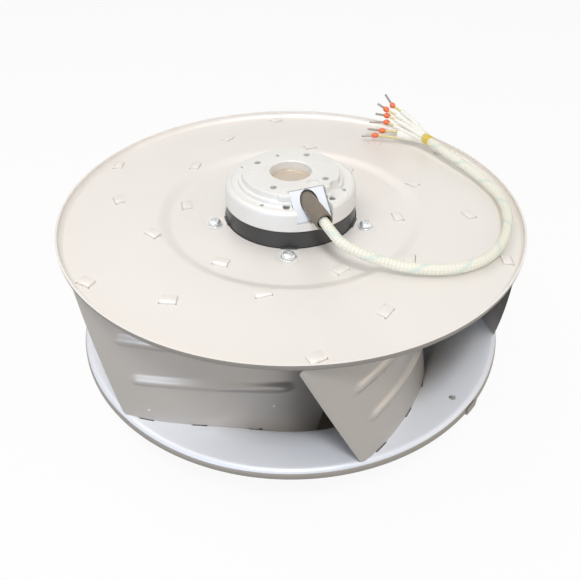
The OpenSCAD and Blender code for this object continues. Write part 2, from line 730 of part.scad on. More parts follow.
// Section of the flange with its tube, radius and height above the back plate
cast_step = 0.6;
face_chamfer = 0.6;
bore_chamfer = 1;
rim_top_h = shoulder_h + rim_h;
rim_c = [flange_r - flange_draft - flange_edge_r, rim_top_h - flange_edge_r];
ledge_r = face_r + ledge_w;
ledge_top_h = shoulder_h + ledge_h;
lip_r = rotor_r - rotor_wall - 1.5 * run_gap;
lip_foot_h = flange_foot_h - labyrinth_h;
tube_foot_h = tube_z - plate_z;
spring_seat_h = spring_seat_z - plate_z;
upper_seat_h = upper_bearing_z - plate_z;
flange_section = concat(
    [[tube_r, tube_foot_h], [tube_r, shoulder_h - web_t], [flange_r - flange_wall, shoulder_h - web_t],
     [flange_r - flange_wall, lip_foot_h], [lip_r, lip_foot_h],
     [lip_r, flange_foot_h], [flange_r, flange_foot_h]],
    arc(rim_c, flange_edge_r, 0, 90, 8),
    [[rim_c[0] - cast_step, rim_top_h], [rim_c[0] - 2 * cast_step, shoulder_h],
     [ledge_r + cast_step, shoulder_h], [ledge_r, ledge_top_h], [face_r + cast_step, ledge_top_h],
     [face_r, face_h - face_chamfer], [face_r - face_chamfer, face_h],
     [bearing_r + bore_chamfer, face_h], [bearing_r, face_h - bore_chamfer],
     [bearing_r, upper_seat_h], [bearing_r - seat_lip, upper_seat_h],
     [bearing_r - seat_lip, spring_seat_h], [bearing_r, spring_seat_h], [bearing_r, tube_foot_h]]);

// Holes in the flange besides the mounting threads: direction, distance, diameter and
// depth below the mounting face
small_hole_d = 3.2;
core_hole_d = 5.4;
shoulder_hole_r = 43.4;
core_hole_r = 41.5;
shoulder_hole_depth = face_h - shoulder_h + 5;
FLANGE_HOLES = concat(
    [[113, 27, small_hole_d, 5], [-47, 24.6, 9, 2.2]],
    [for (dir = [161.5, 58.5, -20.9, -119]) [dir, shoulder_hole_r, small_hole_d, shoulder_hole_depth]],
    [for (dir = [-94.6, -42.6]) [dir, core_hole_r, core_hole_d, shoulder_hole_depth]]);
scallop_dir = -33;
scallop_r = 42;
scallop_d = 17;
scallop_sink = 0.3;
boss_w = 9;
boss_out = 2.4;

module stator_flange() {
    color("#DDDAD4") difference() {
        union() {
            translate([0, 0, plate_z]) rotate_extrude() polygon(flange_section);
            // thickening beside the entry panel
            intersection() {
                translate([0, 0, web_z]) cylinder(h = face_z - web_z, r = face_r + boss_out);
                at_entry() translate([tube_r, -panel_w / 2 - boss_w, 0]) cube([over, boss_w + cut, over]);
            }
        }
        for (i = [0:bolt_n - 1]) rotate([0, 0, bolt_dir + i * 360 / bolt_n])
            translate([bolt_circle_d / 2, 0, face_z - bolt_hole_depth]) cylinder(h = over, d = bolt_hole_d);
        for (h = FLANGE_HOLES) rotate([0, 0, h[0]])
            translate([h[1], 0, face_z - h[3]]) cylinder(h = over, d = h[2]);
        rotate([0, 0, scallop_dir]) translate([scallop_r, 0, plate_z + shoulder_h - scallop_sink])
            cylinder(h = over, d = scallop_d);
        at_entry() {
            panel_pocket();
            entry_bore(slot_gap);
        }
    }
}

// Stator stack: a ring of teeth with round-bottomed slots open to the air gap
slot_r = 2.7;
slot_inset = 9;
slot_mid_r = core_r - slot_inset;
slot_mouth = 2;
core_in = tube_r + seat_gap;
module slot_shape(gap) {
    translate([slot_mid_r, 0]) circle(slot_r - gap, $fn = 32);
}
module tooth_ring() {
    difference() {
        circle(core_r);
        circle(core_in);
        for (i = [0:slot_n - 1]) rotate(i * 360 / slot_n) {
            slot_shape(0);
            translate([slot_mid_r, -slot_mouth / 2]) square([core_r, slot_mouth]);
        }
    }
}
insulator_t = 1;
module stator_core() {
    color("#6E6A66") translate([0, 0, core_z]) linear_extrude(core_h) tooth_ring();
}
module slot_insulators() {
    color("#D9D2C2") for (z = [core_z - insulator_t - seat_gap, core_z + core_h + seat_gap])
        translate([0, 0, z]) linear_extrude(insulator_t) tooth_ring();
}
// Coil sides in the slots and the rings of end turns above and below
winding_z = core_z - insulator_t - 2 * seat_gap;
winding_top = core_z + core_h + insulator_t + 2 * seat_gap;
winding_half_w = slot_r + 3.5;
winding_round = 2;
module winding_head(z) {
    w = winding_half_w - winding_round;
    h = winding_h / 2 - winding_round;
    translate([0, 0, z]) rotate_extrude() translate([slot_mid_r, winding_h / 2]) {
        square([2 * w, winding_h], center = true);
        square([2 * winding_half_w, 2 * h], center = true);
        for (x = [-w, w], y = [-h, h]) translate([x, y]) circle(winding_round, $fn = 24);
    }
}
module stator_windings() {
    color("#A9602C") {
        for (i = [0:slot_n - 1]) rotate([0, 0, i * 360 / slot_n]) translate([0, 0, winding_z])
            linear_extrude(winding_top - winding_z) slot_shape(slot_gap);
        winding_head(winding_z - winding_h);
        winding_head(winding_top);
    }
}
// Small cut-out capsule lying on the upper end turns
switch_size = [6, 12, 4];
switch_dir = 110;
module thermal_switch() {
    z = winding_top + winding_h + seat_gap;
    color("#E8E4DA") rotate([0, 0, switch_dir])
        translate([slot_mid_r - switch_size[0] / 2, -switch_size[1] / 2, z]) cube(switch_size);
}

module rotor_screws() {
    color("#D4D6D8") at_screws() translate([0, 0, head_z + washer_t + seat_gap]) {
        difference() {
            cylinder(h = screw_head_h, d = screw_head_d, $fn = 48);
            translate([0, 0, screw_head_h / 2]) cylinder(h = screw_head_h, d = screw_d, $fn = 6);
        }
        translate([0, 0, -screw_l]) cylinder(h = screw_l + cut, d = screw_d, $fn = 48);
    }
}
module screw_washers() {
    color("#C9CBCD") at_screws() translate([0, 0, head_z]) difference() {
        cylinder(h = washer_t, d = washer_d, $fn = 48);
        translate([0, 0, -cut])
            cylinder(h = washer_t + 2 * cut, d = screw_d + 2 * seat_gap, $fn = 48);
    }
}

// U-shaped balancing clip pushed up over the edge of the shroud's rim
module balance_clip() {
    z = shroud_z - shroud_lip_h;
    foot = z - seat_gap;
    half = clip_w / shroud_r * 90 / PI;
    inner = shroud_r - sheet_t - seat_gap;
    outer = shroud_r + seat_gap;
    leg = min(clip_h, shroud_lip_h - lip_bend_r - sheet_t);
    color("#A7A9AB") rotate([0, 0, clip_dir - half]) rotate_extrude(angle = 2 * half)
        polygon([[inner - clip_t, foot - clip_t], [outer + clip_t, foot - clip_t],
                 [outer + clip_t, z + clip_h], [outer, z + clip_h], [outer, foot], [inner, foot],
                 [inner, z + leg], [inner - clip_t, z + leg]]);
}

// Tube of n sides swept along points, with flat ends square to the directions t0 and t1
function tangent(p, i, t0, t1) = i == 0 ? t0 : i == len(p) - 1 ? t1 : unit(p[i + 1] - p[i - 1]);
function ring(c, t, r, n) = let (u = unit(cross(t, [0, 0, 1])), v = cross(u, t))
    [for (k = [0:n - 1]) c + r * (cos(360 * k / n) * u + sin(360 * k / n) * v)];
module swept_tube(p, r, n, t0, t1) {
    m = len(p);
    points = [for (i = [0:m - 1]) each ring(p[i], tangent(p, i, t0, t1), r, n)];
    sides = [for (i = [0:m - 2], k = [0:n - 1])
        let (a = i * n + k, b = i * n + (k + 1) % n) [a, b, b + n, a + n]];
    ends = [[for (k = [n - 1:-1:0]) k], [for (k = [0:n - 1]) (m - 1) * n + k]];
    polyhedron(points, concat(sides, ends));
}
module along(p, t) {
    translate(p) rotate([0, acos(t[2]), atan2(t[1], t[0])]) children();
}

entry_axis = [cos(entry_dir), sin(entry_dir), 0];
cable_end = CABLE[len(CABLE) - 1];
cable_dir = unit(cable_end - CABLE[len(CABLE) - 2]);
module power_cable() {
    color("#EEEEDD") translate([0, 0, plate_z])
        swept_tube(CABLE, cable_r, tube_sides, entry_axis, cable_dir);
}
module cable_tie() {
    tie_in_r = cable_r + seat_gap;
    color("#E3CC62") translate([0, 0, plate_z]) along(cable_end - tie_l * cable_dir, cable_dir)
        difference() {
            cylinder(h = tie_l, r = tie_in_r + tie_wall);
            translate([0, 0, -cut]) cylinder(h = tie_l + 2 * cut, r = tie_in_r);
        }
}

// A lead leaves its place in the bundle's end and bends over to its collar
function bundle_point(a) = let (u = unit(cross(cable_dir, [0, 0, 1])), v = cross(u, cable_dir))
    cable_end + lead_ring_r * (cos(a) * u + sin(a) * v);
function bezier(a, b, c, s) = (1 - s) * (1 - s) * a + 2 * s * (1 - s) * b + s * s * c;
function lead_path(l) = [for (i = [0:lead_steps]) bezier(bundle_point(l[0]), l[1], l[2], i / lead_steps)];
function collar_axis(l) = unit(l[3] - l[2]);
module lead_wires() {
    color("#F2F0E6") translate([0, 0, plate_z]) for (l = LEADS)
        swept_tube(lead_path(l), lead_d / 2, lead_sides, cable_dir, collar_axis(l));
}
module ferrule_collars() {
    color("#F0743A") translate([0, 0, plate_z]) for (l = LEADS)
        along(l[2], collar_axis(l)) cylinder(h = collar_l, d = collar_d, $fn = 32);
}
module ferrule_tips() {
    color("#9A9692") translate([0, 0, plate_z]) for (l = LEADS)
        along(l[2] + collar_l * collar_axis(l), collar_axis(l))
            cylinder(h = norm(l[3] - l[2]) - collar_l, d = tip_d, $fn = 24);
}

stator_flange();
bearing_cap();
entry_panel();
cable_sleeve();
stator_core();
slot_insulators();
stator_windings();
thermal_switch();
preload_spring();
upper_bearing_outer();
lower_bearing_outer();
power_cable();
cable_tie();
lead_wires();
ferrule_collars();
ferrule_tips();
rotor_bell();
rotor_core();
rotor_cage();
motor_shaft();
shaft_circlip();
upper_bearing_inner();
lower_bearing_inner();
upper_bearing_balls();
upper_bearing_cage();
lower_bearing_balls();
lower_bearing_cage();
back_plate();
shroud();
rotor_screws();
screw_washers();
balance_clip();
for (i = [1:blade_n]) one_blade(i - 1);
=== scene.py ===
"""Plug fan: smooth sheet metal, castings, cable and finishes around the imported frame."""

from math import atan2, cos, degrees, hypot, pi, radians, sin, sqrt, tan

import bmesh
import bpy
from mathutils import Matrix, Vector


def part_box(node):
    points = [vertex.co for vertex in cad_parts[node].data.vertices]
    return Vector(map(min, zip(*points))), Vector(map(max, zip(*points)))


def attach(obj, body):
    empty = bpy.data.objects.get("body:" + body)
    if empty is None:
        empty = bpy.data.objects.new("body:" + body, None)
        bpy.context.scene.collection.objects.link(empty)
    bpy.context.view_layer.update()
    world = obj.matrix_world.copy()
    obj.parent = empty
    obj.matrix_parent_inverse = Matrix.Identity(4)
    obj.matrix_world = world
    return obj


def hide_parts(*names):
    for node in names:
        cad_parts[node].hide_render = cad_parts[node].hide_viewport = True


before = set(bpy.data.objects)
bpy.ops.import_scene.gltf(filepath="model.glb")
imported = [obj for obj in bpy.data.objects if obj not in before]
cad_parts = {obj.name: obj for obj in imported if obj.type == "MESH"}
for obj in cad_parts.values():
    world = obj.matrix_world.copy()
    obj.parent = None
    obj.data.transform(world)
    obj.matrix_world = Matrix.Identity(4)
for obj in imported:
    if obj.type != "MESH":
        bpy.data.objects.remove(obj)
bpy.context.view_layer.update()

# Sizes are in millimetres, angles in degrees. Heights count from the back plate's upper face.
MM = 0.001
SEAT_GAP = 0.1
SHEET = 1.5
LIP_BEND = 4.0
PLATE_LIP = 5.5
PLATE_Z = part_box("back_plate")[1].z / MM - PLATE_LIP
PLATE_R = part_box("back_plate")[1].x / MM
RECESS_DEPTH = 3.6
RECESS_R = 95.0
SLOPE_W = 10.0
SHROUD_H = -98.0
SHROUD_LIP = 7.0
INLET_R = 122.5
ROTOR_R = 52.0
SCREW_COUNT = 5
SCREW_R = 62.0
SCREW_DIR = -91.5
SCREW_D = 6.0
BLADE_COUNT = 6
LIFT = Vector((0, 0, PLATE_Z))
UP = Vector((0, 0, 1))
# Points nearer than this are merged, sharper edges are bevelled and flatter ones shade smooth
MERGE_GAP = 0.001
BEVEL_ANGLE = 40.0
SMOOTH_ANGLE = 32.0


def mm(*values):
    return Vector(values) * MM


def polar(radius, direction, height=0.0):
    return Vector((radius * cos(radians(direction)), radius * sin(radians(direction)), height))


def arc(centre, radius, start, end, steps):
    """Points of an arc in a section, as radius and height."""
    angles = [radians(start + (end - start) * i / steps) for i in range(steps + 1)]
    return [(centre[0] + radius * cos(a), centre[1] + radius * sin(a)) for a in angles]


def filleted(corners, steps=4):
    """A closed section's points from its corners, each with the radius of its fillet."""
    points = []
    for i, (r, h, fillet) in enumerate(corners):
        here = Vector((r, h))
        back = (Vector(corners[i - 1][:2]) - here).normalized()
        ahead = (Vector(corners[(i + 1) % len(corners)][:2]) - here).normalized()
        if fillet == 0:
            points.append((r, h))
            continue
        half = back.angle(ahead) / 2
        middle = here + (back + ahead).normalized() * (fillet / sin(half))
        first = here + back * (fillet / tan(half)) - middle
        last = here + ahead * (fillet / tan(half)) - middle
        for k in range(steps + 1):
            points.append(tuple(middle + first.lerp(last, k / steps).normalized() * fillet))
    return points


# Modelling helpers
def activate(*pieces):
    """Selects these pieces alone and makes the first one active."""
    if bpy.context.mode != "OBJECT":
        bpy.ops.object.mode_set(mode="OBJECT")
    bpy.ops.object.select_all(action="DESELECT")
    for piece in pieces:
        piece.select_set(True)
    bpy.context.view_layer.objects.active = pieces[0]


def start_primitive(operator, **settings):
    """Adds a primitive with nothing else selected, with its place in its mesh."""
    if bpy.context.mode != "OBJECT":
        bpy.ops.object.mode_set(mode="OBJECT")
    bpy.ops.object.select_all(action="DESELECT")
    operator(**settings)
    bpy.ops.object.transform_apply(location=True, rotation=True, scale=True)
    return bpy.context.object


def pick(piece, kind, test):
    """Selects the vertices, edges or faces of a piece in edit mode that pass a test."""
    bpy.ops.mesh.select_mode(type=kind)
    bpy.ops.mesh.select_all(action="DESELECT")
    mesh = bmesh.from_edit_mesh(piece.data)
    for item in {"VERT": mesh.verts, "EDGE": mesh.edges, "FACE": mesh.faces}[kind]:
        item.select_set(test(item))
    mesh.select_flush_mode()
    bmesh.update_edit_mesh(piece.data)


def line(points, closed=False):
    """A plane shrunk to one vertex, which is extruded from point to point."""
    piece = start_primitive(bpy.ops.mesh.primitive_plane_add, size=MM, location=points[0])
    bpy.ops.object.mode_set(mode="EDIT")
    bpy.ops.mesh.select_all(action="SELECT")
    bpy.ops.mesh.merge(type="CENTER")
    for before, after in zip(points, points[1:]):
        bpy.ops.mesh.extrude_region_move(TRANSFORM_OT_translate={"value": after - before})
    if closed:
        ends = (0, len(points) - 1)
        pick(piece, "VERT", lambda vert: vert.index in ends)
        bpy.ops.mesh.edge_face_add()
    bpy.ops.mesh.select_all(action="SELECT")
    return piece


def clean(piece):
    """Merges doubles and turns the faces outwards, in edit mode, and leaves edit mode."""
    bpy.ops.mesh.select_all(action="SELECT")
    bpy.ops.mesh.remove_doubles(threshold=MERGE_GAP * MM)
    bpy.ops.mesh.normals_make_consistent(inside=False)
    bpy.ops.object.mode_set(mode="OBJECT")
    return piece


def spun(section, steps, closed=False, turn=360.0, start=0.0, centre=(0.0, 0.0), base=PLATE_Z):
    """A section of radius and height points, spun counter-clockwise about an upright axis."""
    middle = Vector((centre[0], centre[1], 0.0))
    points = [(middle + polar(r, start, base + h)) * MM for r, h in section]
    piece = line(points, closed)
    bpy.ops.mesh.spin(steps=steps, angle=-radians(turn), center=middle * MM, axis=UP)
    return clean(piece)


def prism(outline, width, turn):
    """A closed outline of outward and upward points, extruded across and turned about the axis."""
    piece = line([mm(out, -width / 2, PLATE_Z + h) for out, h in outline], closed=True)
    bpy.ops.mesh.edge_face_add()
    bpy.ops.mesh.extrude_region_move(TRANSFORM_OT_translate={"value": mm(0, width, 0)})
    clean(piece)
    piece.data.transform(Matrix.Rotation(radians(turn), 4, "Z"))
    return piece


def rod(radius, start, end, sides=48):
    """A round bar between two points, from a cylinder primitive."""
    along = end - start
    turn = along.to_track_quat("Z", "Y").to_euler()
    return start_primitive(bpy.ops.mesh.primitive_cylinder_add, vertices=sides, radius=radius * MM,
                           depth=along.length * MM, location=(start + end) / 2 * MM, rotation=turn)


def slab(size, place, turn=0.0):
    """A box of a size, turned about the upright axis, from a cube primitive."""
    return start_primitive(bpy.ops.mesh.primitive_cube_add, size=1.0, scale=Vector(size) * MM,
                           location=place * MM, rotation=(0.0, 0.0, radians(turn)))


def modify(piece, kind, **settings):
    """Adds a modifier and applies it."""
    modifier = piece.modifiers.new(kind, kind)
    for key, value in settings.items():
        setattr(modifier, key, value)
    activate(piece)
    bpy.ops.object.modifier_apply(modifier=modifier.name)
    return piece


def bevelled(piece, width, segments=2):
    """Rounds the sharp edges of a piece."""
    return modify(piece, "BEVEL", width=width * MM, segments=segments, limit_method="ANGLE",
                  angle_limit=radians(BEVEL_ANGLE))


def joined(pieces):
    activate(*pieces)
    bpy.ops.object.join()
    return pieces[0]


def copies(piece, places):
    """Copies of a piece at places, each with its own mesh, joined into one."""
    made = []
    for place in places:
        twin = piece.copy()
        twin.data = piece.data.copy()
        twin.data.transform(Matrix.Translation(place * MM))
        bpy.context.scene.collection.objects.link(twin)
        made.append(twin)
    bpy.data.objects.remove(piece)
    return joined(made)


def combine(piece, operation, other):
    """Applies a solid to a piece and removes that solid."""
    modify(piece, "BOOLEAN", operation=operation, object=other, solver="MANIFOLD")
    bpy.data.objects.remove(other)
    return piece


def turn_faces(piece):
    """Turns an open sheet's faces round."""
    activate(piece)
    bpy.ops.object.mode_set(mode="EDIT")
    bpy.ops.mesh.select_all(action="SELECT")
    bpy.ops.mesh.flip_normals()
    bpy.ops.object.mode_set(mode="OBJECT")


def sheet_up(piece):
    """Gives an open sheet its thickness, below its upper face."""
    flat = max(piece.data.polygons, key=lambda face: abs(face.normal.z))
    if flat.normal.z < 0:
        turn_faces(piece)
    return modify(piece, "SOLIDIFY", thickness=SHEET * MM, offset=-1.0, use_even_offset=True)


def paint(piece, material):
    piece.data.materials.clear()
    piece.data.materials.append(material)
    return piece


def dress(piece, name, body, slot, *nodes):
    """Names a finished piece, smooths its shading and puts it on its body."""
    activate(piece)
    bpy.ops.object.shade_smooth_by_angle(angle=radians(SMOOTH_ANGLE))
    piece.name = name
    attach(piece, body)
    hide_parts(*nodes)
    return piece


# Material helpers
def linear(colour):
    """An sRGB hex colour as linear red, green, blue and alpha."""
    parts = [int(colour[i:i + 2], 16) / 255 for i in (1, 3, 5)]
    return [p / 12.92 if p <= 0.04045 else ((p + 0.055) / 1.055) ** 2.4 for p in parts] + [1.0]


def add(tree, kind, inputs=None, **settings):
    """Adds a node with its settings, and its inputs from sockets or plain values."""
    made = tree.nodes.new(kind)
    for key, value in settings.items():
        setattr(made, key, value)
    for socket, value in (inputs or {}).items():
        if isinstance(value, bpy.types.NodeSocket):
            tree.links.new(value, made.inputs[socket])
        else:
            made.inputs[socket].default_value = value
    return made


def surface(name, tones, metallic, roughness, grain_mm, relief_mm, cloud_mm=60.0, spread=0.05):
    """A finish whose tone drifts between two colours in clouds, with a fine grain in gloss and relief."""
    material = bpy.data.materials.new(name)
    material.use_nodes = True
    tree = material.node_tree
    shader = tree.nodes["Principled BSDF"]
    shader.inputs["Metallic"].default_value = metallic
    place = add(tree, "ShaderNodeTexCoord").outputs["Object"]
    cloud = add(tree, "ShaderNodeTexNoise", {"Vector": place, "Scale": 1 / (cloud_mm * MM), "Detail": 2.0})
    tone = add(tree, "ShaderNodeMix", {"Factor": cloud.outputs["Fac"], "A": linear(tones[0]),
                                       "B": linear(tones[1])}, data_type="RGBA")
    grain = add(tree, "ShaderNodeTexNoise", {"Vector": place, "Scale": 1 / (grain_mm * MM), "Detail": 3.0})
    gloss = add(tree, "ShaderNodeMapRange", {"Value": grain.outputs["Fac"], "To Min": roughness - spread,
                                             "To Max": roughness + spread})
    bump = add(tree, "ShaderNodeBump", {"Height": grain.outputs["Fac"], "Distance": relief_mm * MM})
    tree.links.new(tone.outputs["Result"], shader.inputs["Base Color"])
    tree.links.new(gloss.outputs["Result"], shader.inputs["Roughness"])
    tree.links.new(bump.outputs["Normal"], shader.inputs["Normal"])
    return material


# Each finish has two tones, metallic, roughness, then grain, relief and cloud size in millimetres
# Rolled aluminium sheet: pale, satin, with a faint warm drift and a fine rolled grain
plate_sheet = surface("rolled_aluminium", ("#EFEBE6", "#E7E3DE"), 0.30, 0.48, 0.8, 0.003, 90.0)
# The upright outer rims of plate and shroud, and the balancing clip: the same sheet made greyer, a painted
# shade for the dimmer light on upright faces
rim_shade_sheet = surface("aluminium_rim_painted_shade", ("#B0A99F", "#A49D93"), 0.30, 0.50, 0.5, 0.008, 20.0)
# The same sheet on the shroud: a little glossier, and cooler in tone as a painted cool light
shroud_sheet = surface("shroud_aluminium_painted_cool_light", ("#EEF1F6", "#E8EBF0"), 0.15, 0.40, 0.8, 0.003, 70.0)
# The blades' sheet: the same sheet made greyer as a painted shade for their upright faces, and a little
# glossier
blade_sheet = surface("pressed_aluminium_painted_shade", ("#C6C0B8", "#BCB6AE"), 0.45, 0.36, 0.8, 0.003, 50.0)
# The foot tabs: dull and dark all over, a painted shade that stands for the shade in their slits
foot_tab_shade_sheet = surface("foot_tab_painted_shade", ("#645F5A", "#57524D"), 0.30, 0.60, 0.5, 0.010, 6.0)
# Spot welds: small buttons, painted white as a highlight
weld_painted_highlight = surface("spot_weld_painted_highlight", ("#FFFFFF", "#F6F6F4"), 0.0, 0.30, 0.4, 0.004, 3.0)
# Die-cast aluminium: pale and matt with a fine sandy skin
die_cast = surface("die_cast_aluminium", ("#EFEEEB", "#E6E5E1"), 0.22, 0.48, 0.9, 0.008, 18.0)
# Smooth cast insert of the cable entry: cooler and brighter than the flange
entry_cast = surface("smooth_cast_insert", ("#EEF2F8", "#E6EBF2"), 0.20, 0.40, 1.2, 0.004, 14.0)
# Semi-gloss black powder coat on the rotor: dark grey with soft broad reflections
rotor_coat = surface("black_powder_coat", ("#3E3E3E", "#343434"), 0.0, 0.30, 0.7, 0.006, 20.0)
# Bright zinc plate on screws and washers: sharp small highlights
zinc_plate = surface("bright_zinc_plate", ("#E9ECEC", "#DADEDE"), 0.60, 0.24, 0.5, 0.003, 6.0)
# Ground bearing and shaft steel: bright, with tight reflections
ground_steel = surface("ground_steel", ("#C9CACB", "#BDBEC0"), 1.0, 0.22, 0.3, 0.002, 20.0)
# Spring steel of circlip and spring: dark grey with soft glints
spring_steel = surface("spring_steel", ("#6C6E70", "#5C5E60"), 1.0, 0.34, 0.4, 0.003, 8.0)
# Pressed brass of the bearing cages: warm yellow, half matt
pressed_brass = surface("pressed_brass", ("#B99A5A", "#A98A4C"), 1.0, 0.33, 0.4, 0.003, 10.0)
# Yellow-passivated cap in the flange's bore: tan with a faint shimmer
passivated = surface("yellow_passivated_steel", ("#D0C4B4", "#C4B7A5"), 0.25, 0.40, 0.8, 0.004, 9.0)
# Cast aluminium of the rotor's cage: pale grey and dull
cage_cast = surface("cage_cast_aluminium", ("#CBCCCD", "#BEBFC1"), 0.9, 0.45, 0.6, 0.008, 16.0)
# Varnished copper of the end turns: red-brown, glossy and uneven
copper = surface("varnished_copper", ("#B0672F", "#8F4E22"), 0.9, 0.36, 0.9, 0.060, 7.0)
# Insulation board: pale cream and matt
insulation = surface("insulation_board", ("#E2DCCD", "#D3CBB8"), 0.0, 0.60, 0.7, 0.010, 12.0)
# Stamped lamination stack, dark and slightly brown
laminations = surface("stamped_laminations", ("#77716B", "#68635E"), 0.7, 0.46, 0.5, 0.020, 10.0)
# Grey-brown rubber sleeve round the cable, dull with a dusty drift
sleeve_rubber = surface("rubber_sleeve", ("#857A6C", "#72685C"), 0.0, 0.50, 1.1, 0.030, 7.0)
# Wound yellow thread: matt, with a strong drift of tone
thread_yellow = surface("wound_yellow_thread", ("#F3E07A", "#CDB044"), 0.0, 0.70, 0.6, 0.080, 2.5)
# White silicone sleeving on the leads: soft white, half matt
lead_sleeving = surface("white_silicone_sleeving", ("#FBFAF3", "#F3F1E6"), 0.0, 0.50, 0.8, 0.010, 6.0)
# Yellow wire insulation: pale, with a weak gloss
wire_yellow = surface("yellow_wire_insulation", ("#EAE1AC", "#DDD08A"), 0.0, 0.42, 0.8, 0.008, 6.0)
# Moulded orange ferrule collars: clean orange with a soft gloss
collar_orange = surface("orange_polypropylene", ("#F8875A", "#F27244"), 0.0, 0.36, 0.7, 0.006, 4.0)
# Crimped tin-plated ferrule tubes: grey, blotched and half bright
tinned_copper = surface("crimped_tinned_copper", ("#B5ADA3", "#968E85"), 0.5, 0.38, 0.5, 0.020, 3.0)


# Camera at the photograph's place in metres, level from side to side and tipped down
CAMERA_PLACE = (-0.0006, -0.4189, 0.4065)
CAMERA_TIP = 39.026
CAMERA_LENS = 37.635
SENSOR_W = 36.0
CAMERA_NEAR = 0.01
camera = bpy.data.objects.new("camera", bpy.data.cameras.new("camera"))
camera.data.sensor_width = SENSOR_W
camera.data.lens = CAMERA_LENS
camera.data.clip_start = CAMERA_NEAR
camera.location = CAMERA_PLACE
camera.rotation_euler = (radians(90 - CAMERA_TIP), 0.0, 0.0)
bpy.context.scene.collection.objects.link(camera)
bpy.context.scene.camera = camera

# Cable and leads: the same routes as in the part, above the back plate
CABLE_D = 7.6
CABLE_SIDES = 40
ROUTE_STEPS = 12
CABLE = [(16.1, -41, 24.5), (19.7, -50.3, 24.5), (23.4, -59.6, 24.4), (27.6, -68, 22.6),
         (34, -76, 19), (43.5, -81, 15.2), (54.5, -84.4, 12), (66.5, -87, 9.2), (79, -89.2, 7.2),
         (93, -90.6, 6.4), (107, -90, 6.2), (120, -86.8, 6.2), (132, -80.6, 6.2), (142.5, -71.6, 6.2),
         (151.5, -59.6, 6.2), (158.6, -46, 6.2), (164, -31, 6.2), (167.2, -15, 6.2), (168, 2, 6.2),
         (166, 17.5, 6.2), (161, 33, 6.6), (154.4, 48, 7.6), (146.4, 62.5, 9), (138, 77, 10.2),
         (130.2, 90.6, 11.2), (124, 101.6, 12)]
LEAD_D = 2.2
LEAD_SIDES = 20
LEAD_RING_R = 2.5
# Each lead's place round the cable's end, the point that pulls its curve, its collar and its tip
LEADS = [(30, (115, 122, 22), (95.6, 130.8, 31), (91, 150, 34)),
         (90, (111, 120, 19.5), (90.2, 129.8, 27.5), (82.7, 138, 30)),
         (150, (107, 117, 17.5), (91.6, 129, 22), (80, 128.8, 24)),
         (210, (105.5, 116, 12.5), (91.6, 127.9, 16), (75, 128.9, 16)),
         (-30, (112, 120, 10), (87.3, 122.2, 10), (73.8, 128.8, 9)),
         (-90, (110, 114, 6), (80.5, 118.8, 7), (67.4, 119.8, 6))]


def smooth_route(points, steps):
    """A smooth curve through points, as short straight steps."""
    ends = [points[0] * 2 - points[1], *points, points[-1] * 2 - points[-2]]
    route = []
    for a, b, c, d in zip(ends, ends[1:], ends[2:], ends[3:]):
        for i in range(steps):
            s = i / steps
            route.append(0.5 * (2 * b + (c - a) * s + (2 * a - 5 * b + 4 * c - d) * s * s
                                + (3 * b - a - 3 * c + d) * s ** 3))
    return route + [points[-1]]


def measured(route):
    """The distance along a route at each of its points."""
    total = [0.0]
    for before, after in zip(route, route[1:]):
        total.append(total[-1] + (after - before).length)
    return total


def tube(name, route, radius, sides, relief=None):
    """A closed tube along a route, with its turn and length in a UV map and raised by its relief."""
    lengths = measured(route)
    mesh = bmesh.new()
    rings = []
    for i, point in enumerate(route):
        ahead = (route[min(i + 1, len(route) - 1)] - route[max(i - 1, 0)]).normalized()
        side = ahead.cross(UP).normalized()
        top = side.cross(ahead)
        ring = []
        for k in range(sides):
            a = 2 * pi * k / sides
            r = radius + (relief(k / sides, lengths[i]) if relief else 0.0)
            ring.append(mesh.verts.new((point + r * (cos(a) * side + sin(a) * top)) * MM))
        rings.append(ring)
    map_layer = mesh.loops.layers.uv.new("along")
    for i, (ring, after) in enumerate(zip(rings, rings[1:])):
        for k in range(sides):
            n = (k + 1) % sides
            face = mesh.faces.new((ring[k], ring[n], after[n], after[k]))
            corners = ((k, i), (k + 1, i), (k + 1, i + 1), (k, i + 1))
            for loop, (turn, step) in zip(face.loops, corners):
                loop[map_layer].uv = (turn / sides, lengths[step] * MM)
    mesh.faces.new(rings[0])
    mesh.faces.new(rings[-1])
    bmesh.ops.recalc_face_normals(mesh, faces=mesh.faces)
    data = bpy.data.meshes.new(name)
    mesh.to_mesh(data)
    mesh.free()
    piece = bpy.data.objects.new(name, data)
    bpy.context.scene.collection.objects.link(piece)
    return piece


# Braid of the cable's glass sleeving: bundles of thread that cross on the slant
BRAID_PITCH = 16.0
BRAID_BUNDLES = 6
BRAID_RELIEF = 0.20
BRAID_THREADS = 5
BRAID_THREAD_H = 0.10
TRACER_EVERY = 6.0


def braid(turn, length):
    one = BRAID_BUNDLES * turn + length * BRAID_BUNDLES / 2 / BRAID_PITCH
    other = BRAID_BUNDLES * turn - length * BRAID_BUNDLES / 2 / BRAID_PITCH
    return BRAID_RELIEF * (cos(2 * pi * one) * cos(2 * pi * other) - 1) / 2


